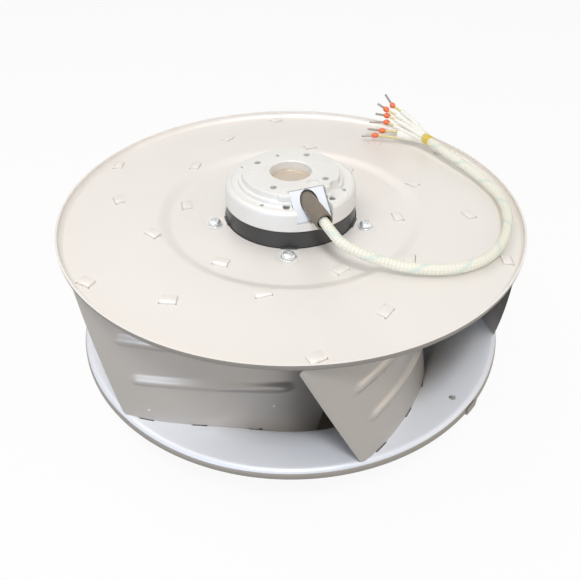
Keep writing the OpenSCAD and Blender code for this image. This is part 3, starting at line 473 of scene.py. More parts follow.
def glass_braid():
    """Cream woven glass sleeving: crossing bundles, darker between them, with pale tracer threads."""
    material = bpy.data.materials.new("woven_glass_sleeving")
    material.use_nodes = True
    tree = material.node_tree
    shader = tree.nodes["Principled BSDF"]
    shader.inputs["Roughness"].default_value = 0.50
    shader.inputs["Sheen Weight"].default_value = 0.15
    where = add(tree, "ShaderNodeUVMap", uv_map="along")
    parts = add(tree, "ShaderNodeSeparateXYZ", {"Vector": where.outputs["UV"]})
    turns = add(tree, "ShaderNodeMath", {0: parts.outputs["X"], 1: float(BRAID_BUNDLES)},
                operation="MULTIPLY")
    steps = add(tree, "ShaderNodeMath", {0: parts.outputs["Y"], 1: BRAID_BUNDLES / 2 / (BRAID_PITCH * MM)},
                operation="MULTIPLY")
    one = add(tree, "ShaderNodeMath", {0: turns.outputs[0], 1: steps.outputs[0]}, operation="ADD")
    other = add(tree, "ShaderNodeMath", {0: turns.outputs[0], 1: steps.outputs[0]}, operation="SUBTRACT")
    waves = []
    for bundle in (one, other):
        angle = add(tree, "ShaderNodeMath", {0: bundle.outputs[0], 1: 2 * pi}, operation="MULTIPLY")
        waves.append(add(tree, "ShaderNodeMath", {0: angle.outputs[0]}, operation="COSINE"))
    cross = add(tree, "ShaderNodeMath", {0: waves[0].outputs[0], 1: waves[1].outputs[0]},
                operation="MULTIPLY")
    height = add(tree, "ShaderNodeMapRange", {"Value": cross.outputs[0], "From Min": -1.0})
    # Each bundle holds several threads, drawn coarser than life so that they show
    threads = add(tree, "ShaderNodeMath", {0: one.outputs[0], 1: 2 * pi * BRAID_THREADS},
                  operation="MULTIPLY")
    thread = add(tree, "ShaderNodeMath", {0: threads.outputs[0]}, operation="SINE")
    pile = add(tree, "ShaderNodeMath", {0: thread.outputs[0], 1: BRAID_THREAD_H,
                                          2: height.outputs["Result"]},
               operation="MULTIPLY_ADD")
    tracer = add(tree, "ShaderNodeMath", {0: other.outputs[0], 1: TRACER_EVERY}, operation="FLOORED_MODULO")
    is_tracer = add(tree, "ShaderNodeMath", {0: tracer.outputs[0], 1: 1.0}, operation="LESS_THAN")
    on_top = add(tree, "ShaderNodeMath", {0: is_tracer.outputs[0], 1: height.outputs["Result"]},
                 operation="MULTIPLY")
    valley = add(tree, "ShaderNodeMix", {"Factor": height.outputs["Result"], "A": linear("#E8E6D2"),
                                         "B": linear("#FAFAEE")}, data_type="RGBA")
    colour = add(tree, "ShaderNodeMix", {"Factor": on_top.outputs[0], "A": valley.outputs["Result"],
                                         "B": linear("#D2E6DE")}, data_type="RGBA")
    bump = add(tree, "ShaderNodeBump", {"Height": pile.outputs[0], "Distance": BRAID_RELIEF * MM})
    tree.links.new(colour.outputs["Result"], shader.inputs["Base Color"])
    tree.links.new(bump.outputs["Normal"], shader.inputs["Normal"])
    return material


route = smooth_route([Vector(p) + LIFT for p in CABLE], ROUTE_STEPS)
cable = paint(tube("power_cable_braid", route, CABLE_D / 2, CABLE_SIDES, braid), glass_braid())
dress(cable, "power_cable_braid", "stator", "glass_braid", "power_cable")

cable_end = route[-1]
cable_way = (Vector(CABLE[-1]) - Vector(CABLE[-2])).normalized()
cable_side = cable_way.cross(UP).normalized()
cable_top = cable_side.cross(cable_way)

# Thread wound round the cable's end: a tube whose relief is a fine screw
TIE_L = 7.0
TIE_WALL = 0.55
TIE_STEPS = 40
TIE_SIDES = 32
TIE_PITCH = 1.0
TIE_RELIEF = 0.22


def thread_winding():
    wound = [cable_end - cable_way * TIE_L * (1 - i / TIE_STEPS) for i in range(TIE_STEPS + 1)]
    piece = tube("cable_tie_thread", wound, CABLE_D / 2 + TIE_WALL, TIE_SIDES,
                 lambda turn, length: TIE_RELIEF * cos(2 * pi * (length / TIE_PITCH + turn)))
    return dress(paint(piece, thread_yellow), "cable_tie_thread", "stator", "tie_yellow", "cable_tie")


thread_winding()

# Ferrules: a moulded collar like a bead and a crimped metal tube, spun about the lead's axis
COLLAR_D = 5.2
COLLAR_L = 6.6
COLLAR_BACK = 2.6
COLLAR_MOUTH = 0.2
COLLAR_CLOSE = 0.15
BULGE_TURN, BULGE_STEPS, BULGE_SHARE = 50, 10, 0.98
TIP_D = 2.1
TIP_CHAMFER = (0.25, 0.3)
CRIMPS = 8
CRIMP_DEPTH = 0.12


def ferrule(number, start, end):
    start = start - (end - start).normalized() * COLLAR_BACK
    way = end - start
    reach = way.length
    place = Matrix.Translation(start * MM) @ way.to_track_quat("Z", "Y").to_matrix().to_4x4()
    collar_r, tip_r = COLLAR_D / 2, TIP_D / 2
    section = [(0, 0), (LEAD_D / 2 + COLLAR_MOUTH, 0)]
    bulge = arc((0, 0), 1.0, -BULGE_TURN, BULGE_TURN, BULGE_STEPS)
    section += [(collar_r * out, COLLAR_L / 2 * (1 + along * BULGE_SHARE)) for out, along in bulge]
    section += [(tip_r + COLLAR_CLOSE, COLLAR_L), (0, COLLAR_L)]
    collar = spun(section, 32, base=0.0)
    collar.data.transform(place)
    dress(paint(collar, collar_orange), f"ferrule_collar_{number}", "stator", "ferrule_orange",
          "ferrule_collars")
    section = [(0, COLLAR_L)]
    for k in range(CRIMPS + 1):
        crimped = tip_r - (CRIMP_DEPTH if k % 2 else 0.0)
        section.append((crimped, COLLAR_L + (reach - COLLAR_L - TIP_CHAMFER[1]) * k / CRIMPS))
    section += [(tip_r - TIP_CHAMFER[0], reach), (0, reach)]
    tip = spun(section, 24, base=0.0)
    tip.data.transform(place)
    dress(paint(tip, tinned_copper), f"ferrule_tip_{number}", "stator", "ferrule_tin", "ferrule_tips")
    return [collar, tip]


# Leads: yellow wires, four in white sleeving of their own and the last two in one wide sleeve
LEAD_SLEEVE_D = 4.1
SLEEVED_LEADS = 4
LEAD_SLEEVE_FROM = 1
LEAD_SLEEVE_TO = 20
PAIR_SLEEVE_D = 8.0
PAIR_SLEEVE_TO = 17
LEAD_STEPS = 24
LEAD_SLEEVE_SIDES = 28
LEAD_SLEEVE_EDGE = 0.3


def lead_path(place, pull, collar_at):
    begin = cable_end + LEAD_RING_R * (cos(radians(place)) * cable_side + sin(radians(place)) * cable_top)
    shares = [i / LEAD_STEPS for i in range(LEAD_STEPS + 1)]
    return [(1 - s) ** 2 * begin + 2 * s * (1 - s) * pull + s * s * collar_at for s in shares]


def sleeving(name, path, diameter):
    piece = paint(tube(name, path, diameter / 2, LEAD_SLEEVE_SIDES), lead_sleeving)
    bevelled(piece, LEAD_SLEEVE_EDGE)
    return dress(piece, name, "stator", "lead_white", "lead_wires")


pair_paths = []
for number, (place, pull, collar_at, tip_at) in enumerate(LEADS, 1):
    pull, collar_at, tip_at = (Vector(p) + LIFT for p in (pull, collar_at, tip_at))
    path = lead_path(place, pull, collar_at)
    lead = paint(tube(f"lead_{number}", path, LEAD_D / 2, LEAD_SIDES), wire_yellow)
    dress(lead, f"lead_{number}", "stator", "lead_white", "lead_wires")
    on_lead = ferrule(number, collar_at, tip_at)
    if number <= SLEEVED_LEADS:
        covered = path[LEAD_SLEEVE_FROM:LEAD_SLEEVE_TO]
        on_lead.append(sleeving(f"lead_sleeve_{number}", covered, LEAD_SLEEVE_D))
    else:
        pair_paths.append(path)
    if len(pair_paths) == 2:
        middle = [(a + b) / 2 for a, b in zip(*pair_paths)]
        covered = middle[LEAD_SLEEVE_FROM:PAIR_SLEEVE_TO]
        on_lead.append(sleeving("lead_sleeve_pair", covered, PAIR_SLEEVE_D))


# Places on the plate and the blades
def screw_places(height=0.0):
    return [polar(SCREW_R, SCREW_DIR + 360 * i / SCREW_COUNT, height) for i in range(SCREW_COUNT)]


BLADE_CURVE_R = 152.0
BLADE_LEAN = 0.19
BLADE_AXIS_R = 73.0
BLADE_AXIS_DIR = -146.0
TAB_DIRS = [12.5 - 24 * i for i in range(4)]
TAB_L = 10.8
TAB_W = 7.6
FOOT_TAB_DIRS = [-43.5 + 13.4 * i for i in range(3)]
FOOT_TAB_L = 10.0
FOOT_TAB_OUT = 4.0


def blade_turn(i):
    return 360 * i / BLADE_COUNT


def blade_axis(i):
    return polar(BLADE_AXIS_R, BLADE_AXIS_DIR + blade_turn(i))


def blade_face_r(h):
    """Radius of a blade's outer face about the axis of its curve, at a height above the plate."""
    return BLADE_CURVE_R - BLADE_LEAN * h


def on_blade(i, direction, h, inset=0.0):
    """A point on blade i's face, by its direction about the axis of the blade's curve."""
    return blade_axis(i) + polar(blade_face_r(h) - inset, direction + blade_turn(i), h)


# The rim begins where the bend's face has turned this far outwards
RIM_SHARE = 0.8


def paint_with_shaded_rim(piece, material):
    """Gives a sheet its finish, and its upright outer rim the greyer one as a painted shade."""
    paint(piece, material).data.materials.append(rim_shade_sheet)
    for face in piece.data.polygons:
        outward = face.normal.xy.dot(face.center.xy.normalized())
        if outward > RIM_SHARE and face.center.xy.length > (PLATE_R - LIP_BEND) * MM:
            face.material_index = 1


# Back plate: spun from its upper face, with a dimple pressed round each rotor screw
PLATE_STEPS = 288
PLATE_HOLE_R = ROTOR_R + 0.5
# Rings of the floor for the dimples to press, the slope's easing at each end, and a ring on the flat
FLOOR_RINGS, FLOOR_RING_W = 17, 1.3
SLOPE_EASE, SLOPE_STEPS = 1.0, 12
FLAT_RING_R = 140.0
PLATE_LIP_STEPS = 8
DIMPLE_FLAT_R = 7.0
DIMPLE_EDGE_W = 3.0
DIMPLE_DEPTH = 0.8
SLOT_SIDE_GAP = 0.3
SLOT_END_GAP = 1.4
SLOT_DEPTH = 3 * SHEET


def back_plate():
    floor_r = [PLATE_HOLE_R + FLOOR_RING_W * i for i in range(FLOOR_RINGS)]
    slope = []
    for i in range(SLOPE_STEPS + 1):
        r = RECESS_R - SLOPE_EASE + (SLOPE_W + 2 * SLOPE_EASE) * i / SLOPE_STEPS
        slope.append((r, -RECESS_DEPTH * (1 + cos(pi * i / SLOPE_STEPS)) / 2))
    bend = (PLATE_R - SHEET - LIP_BEND, LIP_BEND)
    section = [(r, -RECESS_DEPTH) for r in floor_r] + slope
    section += [(FLAT_RING_R, 0.0)] + arc(bend, LIP_BEND, -90, 0, PLATE_LIP_STEPS)
    section += [(PLATE_R - SHEET, PLATE_LIP)]
    piece = spun(section, PLATE_STEPS)
    activate(piece)
    bpy.ops.object.mode_set(mode="EDIT")
    for centre in screw_places():
        pick(piece, "VERT", lambda vert: (vert.co.xy / MM - centre.xy).length < DIMPLE_FLAT_R)
        bpy.ops.transform.translate(value=mm(0, 0, -DIMPLE_DEPTH), use_proportional_edit=True,
                                    proportional_edit_falloff="LINEAR",
                                    proportional_size=DIMPLE_EDGE_W * MM)
    bpy.ops.object.mode_set(mode="OBJECT")
    sheet_up(piece)
    slots = []
    for i in range(BLADE_COUNT):
        for k, direction in enumerate(TAB_DIRS):
            h = -RECESS_DEPTH if k == 0 else 0.0
            centre = on_blade(i, direction, h - SHEET / 2, SHEET / 2)
            size = (SHEET + SLOT_SIDE_GAP, TAB_L + SLOT_END_GAP, SLOT_DEPTH)
            slots.append(slab(size, centre + LIFT, direction + blade_turn(i)))
    combine(piece, "DIFFERENCE", joined(slots))
    paint_with_shaded_rim(piece, plate_sheet)
    return dress(piece, "back_plate_sheet", "impeller", "impeller_sheet", "back_plate")


# Shroud: two arcs from the rim to the inlet edge, spun from its upper face
CURVE_OUTER_R = 32.0
CURVE_INNER_R = 60.0
CURVE_TURN = 50.0
CURVE_STEPS = 14
SHROUD_STEPS = 240
SHROUD_LIP_STEPS = 10
FOOT_TRIES = 6
SLIT_W = 0.7
SLIT_END_GAP = 2.0
SLIT_DEPTH = 8 * SHEET
BALANCE_HOLE_R = 166.5
BALANCE_HOLE_DIR = -42.7
BALANCE_HOLE_D = 5.5
turn_sin, turn_cos = sin(radians(CURVE_TURN)), cos(radians(CURVE_TURN))
outer_c = (INLET_R + CURVE_OUTER_R * turn_sin + CURVE_INNER_R * (1 - turn_sin), -CURVE_OUTER_R)
inner_c = (INLET_R + CURVE_INNER_R, -CURVE_OUTER_R * (1 - turn_cos) - CURVE_INNER_R * turn_cos)


def shroud_curve(d, turn):
    """The shroud's curve moved d outwards along its normal, from its flat part to a turn of the curve."""
    outer = arc(outer_c, CURVE_OUTER_R + d, 90, 90 + CURVE_TURN, CURVE_STEPS)
    return outer + arc(inner_c, CURVE_INNER_R + d, 90 + CURVE_TURN, turn, CURVE_STEPS)[1:]


def foot_height(r):
    """Height of the shroud's upper face at a distance from the axis."""
    if r >= outer_c[0]:
        return SHROUD_H
    if r >= outer_c[0] - CURVE_OUTER_R * turn_sin:
        return SHROUD_H + outer_c[1] + sqrt(CURVE_OUTER_R ** 2 - (r - outer_c[0]) ** 2)
    return SHROUD_H + inner_c[1] + sqrt(max(CURVE_INNER_R ** 2 - (r - inner_c[0]) ** 2, 0.0))


def foot_place(i, direction):
    """The point where a blade's face meets the shroud's upper face."""
    place = on_blade(i, direction, SHROUD_H)
    for _ in range(FOOT_TRIES):
        place = on_blade(i, direction, foot_height(place.xy.length))
    return place


def shroud():
    base = PLATE_Z + SHROUD_H
    bend_r = LIP_BEND + SHEET
    section = [(PLATE_R, -SHROUD_LIP)]
    section += arc((PLATE_R - bend_r, -bend_r), bend_r, 0, 90, SHROUD_LIP_STEPS)
    section += shroud_curve(0.0, 180.0) + [(INLET_R, -base)]
    piece = sheet_up(spun(section, SHROUD_STEPS, base=base))
    cuts = []
    for i in range(BLADE_COUNT):
        for direction in FOOT_TAB_DIRS:
            turn = direction + blade_turn(i)
            centre = foot_place(i, direction) + polar((SLIT_W - SHEET) / 2, turn)
            size = (SHEET + SLIT_W, FOOT_TAB_L + SLIT_END_GAP, SLIT_DEPTH)
            cuts.append(slab(size, centre + LIFT, turn))
    hole = polar(BALANCE_HOLE_R, BALANCE_HOLE_DIR, base)
    reach = SLIT_DEPTH / 2 * UP
    cuts.append(rod(BALANCE_HOLE_D / 2, hole - reach, hole + reach))
    combine(piece, "DIFFERENCE", joined(cuts))
    paint_with_shaded_rim(piece, shroud_sheet)
    return dress(piece, "shroud_sheet", "impeller", "impeller_sheet", "shroud")


# Blades: part of a leaning cone with two pressed beads, trimmed to the space between plate and shroud
BLADE_FROM, BLADE_TO = -67.0, 27.0
BLADE_FOOT_H = -131.5
BLADE_ROWS, BLADE_COLUMNS = 120, 150
TIP_R = 177.4
ROOT_R = 81.0
TIP_CORNER_R = 4.0
TIP_CORNER_STEPS = 8
FOOT_TURN = 163.0
BEAD_HALF_W = 5.6
BEAD_H = 2.4
BEAD_EDGE_GAP = 12.0
# Each bead's depth below the plate, the size of its fall, where it runs level and where it ends
BEADS = [(32.5, 110.0, -41.0, -51.5), (62.8, 115.0, -36.0, -47.3)]
TAB_BEND_R, TAB_BEND_STEPS = 1.4, 5
TAB_ROOT_H = -5.0
TAB_EDGE_R = 0.15
# The blade with spot welds, each weld's direction and height, and the section of its button
WELDED_BLADE = 5
WELDS = [(-42.6, -89.3), (-11.6, -89.9)]
WELD_BUTTON = [(0, -0.2), (1.0, -0.2), (0.9, 0.2), (0.6, 0.4), (0, 0.45)]
foot_r, foot_h = shroud_curve(SEAT_GAP, FOOT_TURN)[-1]


def inner_edge_r(h):
    """Distance of a blade's inner edge from the motor axis at a height above the plate."""
    return foot_r + (ROOT_R - foot_r) * (h - foot_h - SHROUD_H) / -(foot_h + SHROUD_H)


def bead_rise(direction, h, r):
    """How far the pressed beads raise a blade at a place on it."""
    rise = 0.0
    for depth, fall, level_dir, end_dir in BEADS:
        course = -depth - fall * (1 - cos(radians(direction - level_dir)))
        past_tip = radians(end_dir - direction) * BLADE_CURVE_R
        past_root = inner_edge_r(h) + BEAD_EDGE_GAP - r
        past = max(past_tip, past_root) + BEAD_HALF_W
        share = max(0.0, 1 - hypot(h - course, max(past, 0.0)) / BEAD_HALF_W)
        rise = max(rise, BEAD_H * (1 - cos(pi * share)) / 2)
    return rise


def blade_room():
    """The space that a blade fills, spun about the motor axis."""
    under = -SHEET - SEAT_GAP
    recess = under - RECESS_DEPTH
    corner = (TIP_R - TIP_CORNER_R, under - TIP_CORNER_R)
    foot = [(r, h + SHROUD_H) for r, h in shroud_curve(SEAT_GAP, FOOT_TURN)]
    section = [(ROOT_R, recess), (RECESS_R, recess), (RECESS_R + SLOPE_W, under)]
    section += arc(corner, TIP_CORNER_R, 90, 0, TIP_CORNER_STEPS)
    section += [(TIP_R, SHROUD_H + SEAT_GAP)] + foot
    return spun(section, SHROUD_STEPS, closed=True)


def sheet_blade():
    """The first blade with its beads, before its tabs."""
    heights = [BLADE_FOOT_H * (1 - k / BLADE_ROWS) for k in range(BLADE_ROWS + 1)]
    axis = blade_axis(0)
    piece = spun([(blade_face_r(h), h) for h in heights], BLADE_COLUMNS, turn=BLADE_TO - BLADE_FROM,
                 start=BLADE_FROM, centre=axis.xy)
    outward = piece.data.polygons[0]
    if outward.normal.dot(outward.center - axis * MM) < 0:
        turn_faces(piece)
    for vert in piece.data.vertices:
        place = vert.co / MM
        away = place.xy - axis.xy
        rise = bead_rise(degrees(atan2(away.y, away.x)), place.z - PLATE_Z, place.xy.length)
        outward = Vector((away.x, away.y, BLADE_LEAN * away.length)).normalized()
        vert.co += outward * rise * MM
    modify(piece, "SOLIDIFY", thickness=SHEET * MM, offset=-1.0, use_even_offset=True)
    return paint(combine(piece, "INTERSECT", blade_room()), blade_sheet)


def tab_strip(profile, length, place, turn, material):
    """A strip of sheet bent to a profile of outward and upward points, at a place on a blade."""
    piece = line([mm(x, -length / 2, z) for x, z in profile])
    bpy.ops.mesh.extrude_region_move(TRANSFORM_OT_translate={"value": mm(0, length, 0)})
    bpy.ops.mesh.select_all(action="SELECT")
    bpy.ops.mesh.normals_make_consistent(inside=False)
    bpy.ops.object.mode_set(mode="OBJECT")
    modify(piece, "SOLIDIFY", thickness=SHEET * MM, offset=0.0, use_even_offset=True)
    bevelled(piece, TAB_EDGE_R)
    turned = Matrix.Rotation(radians(turn), 4, "Z")
    piece.data.transform(Matrix.Translation((place + LIFT) * MM) @ turned)
    return paint(piece, material)


def tabs():
    """The folded tabs through the plate and the straight ones through the shroud."""
    made = []
    half = SHEET / 2
    top = SEAT_GAP + half
    for k, direction in enumerate(TAB_DIRS):
        seat = -RECESS_DEPTH if k == 0 else 0.0
        bend = (-half - TAB_BEND_R, top - TAB_BEND_R)
        profile = [(-half, TAB_ROOT_H)] + arc(bend, TAB_BEND_R, 0, 90, TAB_BEND_STEPS) + [(-TAB_W, top)]
        made.append(tab_strip(profile, TAB_L, on_blade(0, direction, seat), direction, plate_sheet))
    for direction in FOOT_TAB_DIRS:
        lean = BLADE_LEAN * FOOT_TAB_OUT
        profile = [(lean - half, -FOOT_TAB_OUT), (-half, SEAT_GAP)]
        # The foot tabs take the dark sheet, a painted shade for their slits
        made.append(tab_strip(profile, FOOT_TAB_L, foot_place(0, direction), direction, foot_tab_shade_sheet))
    return made


def weld_dots():
    """Low buttons where the sheet was spot welded, painted white as a highlight."""
    made = []
    for direction, h in WELDS:
        dot = spun(WELD_BUTTON, 20, base=0.0)
        outward = polar(1.0, direction, BLADE_LEAN)
        turn = outward.to_track_quat("Z", "Y").to_matrix().to_4x4()
        dot.data.transform(Matrix.Translation((on_blade(0, direction, h) + LIFT) * MM) @ turn)
        made.append(paint(dot, weld_painted_highlight))
    return made


def blades():
    """One blade, and turned copies of it."""
    first = joined([sheet_blade(), *tabs()])
    for i in range(BLADE_COUNT):
        piece = first.copy()
        piece.data = first.data.copy()
        bpy.context.scene.collection.objects.link(piece)
        if i == WELDED_BLADE:
            joined([piece, *weld_dots()])
        piece.data.transform(Matrix.Rotation(radians(blade_turn(i)), 4, "Z"))
        dress(piece, f"blade_{i + 1}_sheet", "impeller", "blade_sheet", f"blade_{i + 1}")
    bpy.data.objects.remove(first)


back_plate()
shroud()
blades()

# Rotor bell: a deep cup with a rounded edge, and a lug under each screw
ROTOR_RIM_H = 9.4
ROTOR_TAPER = 1.4
ROTOR_WALL = 2.6
ROTOR_EDGE_R = 7.0
SHAFT_BORE_R = 6.1
HUB_R = 11.0
HUB_H = 5.0
LUG_W = 16.0
LUG_T = 7.0
LUG_H = -RECESS_DEPTH - DIMPLE_DEPTH - SHEET
LUG_EDGE_R = 0.5
FOOT_RIDGE = (2.4, 12.5, 1.1)
RIDGE_EDGE_R = 0.3
DRILL_UNDER, DRILL_OVER = 30.0, 10.0


def rotor_bell():
    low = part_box("rotor_bell")[0].z / MM - PLATE_Z
    inner_r = ROTOR_R - ROTOR_WALL
    floor_h = low + ROTOR_WALL
    piece = spun(filleted([
        (SHAFT_BORE_R, low, 0.4), (ROTOR_R, low, ROTOR_EDGE_R), (ROTOR_R, LUG_H, 4.0),
        (ROTOR_R - ROTOR_TAPER, ROTOR_RIM_H, 0.6),
        (inner_r, ROTOR_RIM_H, 0.4), (inner_r, floor_h, ROTOR_EDGE_R - ROTOR_WALL),
        (HUB_R, floor_h, 1.0),
        (HUB_R, low + HUB_H, 0.5), (SHAFT_BORE_R, low + HUB_H, 0.4)], 8), 192, closed=True)
    for k, place in enumerate(screw_places(PLATE_Z)):
        turn = SCREW_DIR + 360 * k / SCREW_COUNT
        lug = rod(LUG_W / 2, place + (LUG_H - LUG_T) * UP, place + LUG_H * UP)
        root = (SCREW_R - ROTOR_R + ROTOR_WALL / 2, LUG_W, LUG_T)
        middle = polar(SCREW_R - root[0] / 2, turn, PLATE_Z + LUG_H - LUG_T / 2)
        combine(lug, "UNION", slab(root, middle, turn))
        bevelled(lug, LUG_EDGE_R)
        drill = rod(SCREW_D / 2 + SEAT_GAP, place - DRILL_UNDER * UP, place + DRILL_OVER * UP)
        combine(lug, "DIFFERENCE", drill)
        combine(piece, "UNION", lug)
        # A low ridge at the wall's foot over each lug, just above the plate
        ridge_h = PLATE_Z - RECESS_DEPTH + SEAT_GAP + FOOT_RIDGE[2] / 2
        ridge = slab(FOOT_RIDGE, polar(ROTOR_R, turn, ridge_h), turn)
        combine(piece, "UNION", bevelled(ridge, RIDGE_EDGE_R, 3))
    return dress(paint(piece, rotor_coat), "rotor_bell_shell", "impeller", "rotor_black", "rotor_bell")


# Screws with a cross recess, and their washers
CROSS = (5.2, 1.2, 1.4)
CROSS_DIRS = (25.0, 115.0)
WASHER_R = 6.0
SHANK_CHAMFER = 0.5
# The head's radius at heights above its seat, then at depths below its top
HEAD_SIDE = [(4.7, 0.0), (5.0, 0.3), (4.95, 1.3), (4.5, 2.3)]
HEAD_CROWN = [(3.6, 0.35), (2.2, 0.08)]


def rotor_screws():
    low, high = (corner.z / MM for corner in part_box("screw_washers"))
    bore_r = SCREW_D / 2 + SEAT_GAP
    washer = spun(filleted([(bore_r, low, 0.1), (WASHER_R, low, 0.15), (WASHER_R, high, 0.25),
                            (bore_r, high, 0.1)], 3), 48, closed=True, base=0.0)
    washers = copies(washer, screw_places())
    dress(paint(washers, zinc_plate), "screw_washer_set", "impeller", "zinc_steel", "screw_washers")
    foot, top = (corner.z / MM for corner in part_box("rotor_screws"))
    seat = high + SEAT_GAP
    shank_r = SCREW_D / 2
    section = [(0, foot), (shank_r - SHANK_CHAMFER, foot), (shank_r, foot + SHANK_CHAMFER), (shank_r, seat)]
    section += [(r, seat + h) for r, h in HEAD_SIDE]
    section += [(r, top - depth) for r, depth in HEAD_CROWN] + [(0, top)]
    screw = spun(section, 40, base=0.0)
    for turn in CROSS_DIRS:
        combine(screw, "DIFFERENCE", slab(CROSS, Vector((0, 0, top)), turn))
    screws = copies(screw, screw_places())
    dress(paint(screws, zinc_plate), "rotor_screw_set", "impeller", "zinc_steel", "rotor_screws")


rotor_bell()
rotor_screws()

# Stator flange: a stepped casting with threads, holes and the pocket of the cable entry
FACE_H = 33.0
SHOULDER_H = 25.0
WEB_H = 19.0
TUBE_FOOT_H = -73.0
BEARING_R = 16.0
THREAD_R, THREAD_D, THREAD_DEPTH, THREAD_DIR = 29.0, 5.0, 11.0, -26.0
# Each further hole in the face: direction, distance, diameter and depth
FLANGE_HOLES = [(113, 27, 3.2, 5), (-47, 24.6, 9, 2.2)]
# Holes through the shoulder: direction, distance and diameter
SHOULDER_HOLES = [(direction, 43.4, 3.2) for direction in (152, 58.5, -20.9, -119)]
SHOULDER_HOLES += [(direction, 41.5, 5.4) for direction in (-94.6, -42.6)]
SCALLOP_DIR, SCALLOP_R, SCALLOP_D, SCALLOP_SINK = -31.5, 41.5, 14.0, 0.3
GROOVE = (100.0, 0.9, 0.5)
GROOVE_DIR, GROOVE_BACK = 16.0, 7.0
ENTRY_DIR = -68.6
ENTRY_H = 24.5
PANEL_W = 27.0
PANEL = [(30.0, 27.25), (47.6, 10.95), (47.6, 16.4), (30.0, 32.7)]
PANEL_GAP = 0.8
PANEL_HOLE_D = 14.4
PANEL_HOLE_RAISE = 0.9
PANEL_HOLE_FROM, PANEL_HOLE_TO = 10.0, 80.0
PANEL_EDGE_R = 0.35
ENTRY_BORE_D = 14.0
ENTRY_BORE_H = 25.1
ENTRY_BORE_FROM, ENTRY_BORE_TO = 27.0, 70.0
# The boss beside the entry, where its middle lies, and the radius that trims it
BOSS = (26.0, 10.0, 12.9)
BOSS_AT = (33.0, -17.5, FACE_H - 6.5)
BOSS_OUT_R = 39.9
BOSS_TRIM_H = 60.0
BOSS_EDGE_R = 0.6
# How far tools reach past what they cut
CLEAR = 12.0
DRILL_PAST = 1.0


def at_entry(out, across, h):
    """A point by its distance out along the cable entry, across it, and above the plate."""
    return polar(out, ENTRY_DIR) + polar(across, ENTRY_DIR + 90, PLATE_Z + h)


def flange_body():
    """The spun casting, from the bearing tube round by the skirt and the steps of the face."""
    return spun(filleted([
        (20, TUBE_FOOT_H, 0), (20, WEB_H, 1.0), (46.5, WEB_H, 1.0), (46.5, 4.3, 0.3), (48.65, 4.3, 0.3),
        (48.65, 10.3, 0.3), (51.8, 10.3, 0.5), (50.3, 25.6, 3.6), (46.1, 25.6, 0.3),
        (45.5, SHOULDER_H, 0.3), (41.1, SHOULDER_H, 0.8), (40.5, 28.2, 0.6), (38.1, 28.2, 0.7),
        (37.5, FACE_H, 0.8),
        (BEARING_R, FACE_H, 1.0), (BEARING_R, 10.8, 0.3), (13.5, 10.8, 0.3), (13.5, -59.8, 0),
        (BEARING_R, -59.8, 0), (BEARING_R, TUBE_FOOT_H, 0)]), 192, closed=True)


def stator_flange():
    piece = flange_body()
    boss = slab(BOSS, at_entry(*BOSS_AT), ENTRY_DIR)
    combine(boss, "INTERSECT", rod(BOSS_OUT_R, LIFT, LIFT + BOSS_TRIM_H * UP, 192))
    combine(piece, "UNION", bevelled(boss, BOSS_EDGE_R))
    over = PLATE_Z + FACE_H + CLEAR
    drills = [(THREAD_DIR + 90 * k, THREAD_R, THREAD_D, THREAD_DEPTH) for k in range(4)] + FLANGE_HOLES
    drills.append((SCALLOP_DIR, SCALLOP_R, SCALLOP_D, FACE_H - SHOULDER_H + SCALLOP_SINK))
    for direction, r, diameter, depth in drills:
        bottom = polar(r, direction, PLATE_Z + FACE_H - depth)
        combine(piece, "DIFFERENCE", rod(diameter / 2, bottom, polar(r, direction, over)))
    for direction, r, diameter in SHOULDER_HOLES:
        ends = (WEB_H - DRILL_PAST, SHOULDER_H + DRILL_PAST)
        bottom, top = (polar(r, direction, PLATE_Z + h) for h in ends)
        combine(piece, "DIFFERENCE", rod(diameter / 2, bottom, top))
    groove_at = polar(-GROOVE_BACK, GROOVE_DIR - 90, PLATE_Z + FACE_H)
    combine(piece, "DIFFERENCE", slab(GROOVE, groove_at, GROOVE_DIR))
    inside, outside = PANEL[0][0] - PANEL_GAP, PANEL[1][0] + PANEL_GAP
    pocket = [(inside, PANEL[0][1] - PANEL_GAP), (outside, PANEL[1][1] - PANEL_GAP),
              (outside, PANEL[2][1]), (outside + CLEAR, PANEL[2][1]),
              (outside + CLEAR, FACE_H + CLEAR), (inside, FACE_H + CLEAR)]
    combine(piece, "DIFFERENCE", prism(pocket, PANEL_W + 2 * PANEL_GAP, ENTRY_DIR))
    bore_ends = (at_entry(out, 0, ENTRY_BORE_H) for out in (ENTRY_BORE_FROM, ENTRY_BORE_TO))
    combine(piece, "DIFFERENCE", rod(ENTRY_BORE_D / 2, *bore_ends))
    return dress(paint(piece, die_cast), "stator_flange_casting", "stator", "die_cast", "stator_flange")


def entry_panel():
    piece = prism(PANEL, PANEL_W, ENTRY_DIR)
    raised = ENTRY_H + PANEL_HOLE_RAISE
    hole_ends = (at_entry(out, 0, raised) for out in (PANEL_HOLE_FROM, PANEL_HOLE_TO))
    combine(piece, "DIFFERENCE", rod(PANEL_HOLE_D / 2, *hole_ends))
    bevelled(piece, PANEL_EDGE_R)
    dress(paint(piece, entry_cast), "entry_panel_insert", "stator", "entry_metal", "entry_panel")
    bpy.ops.object.shade_flat()


# Rubber sleeve round the cable, along the entry
SLEEVE_R, SLEEVE_WALL = 6.5, 1.3
SLEEVE_START, SLEEVE_END = 30.5, 64.5


def cable_sleeve():
    inner, reach = SLEEVE_R - SLEEVE_WALL, SLEEVE_END - SLEEVE_START
    piece = spun(filleted([(inner, 0, 0.3), (SLEEVE_R, 0, 0.4), (SLEEVE_R, reach, 0.45),
                           (inner, reach, 0.45)]), 48, closed=True, base=0.0)
    turn = polar(1, ENTRY_DIR).to_track_quat("Z", "Y").to_matrix().to_4x4()
    piece.data.transform(Matrix.Translation(at_entry(SLEEVE_START, 0, ENTRY_H) * MM) @ turn)
    paint(piece, sleeve_rubber)
    return dress(piece, "cable_sleeve_tube", "stator", "sleeve_rubber", "cable_sleeve")


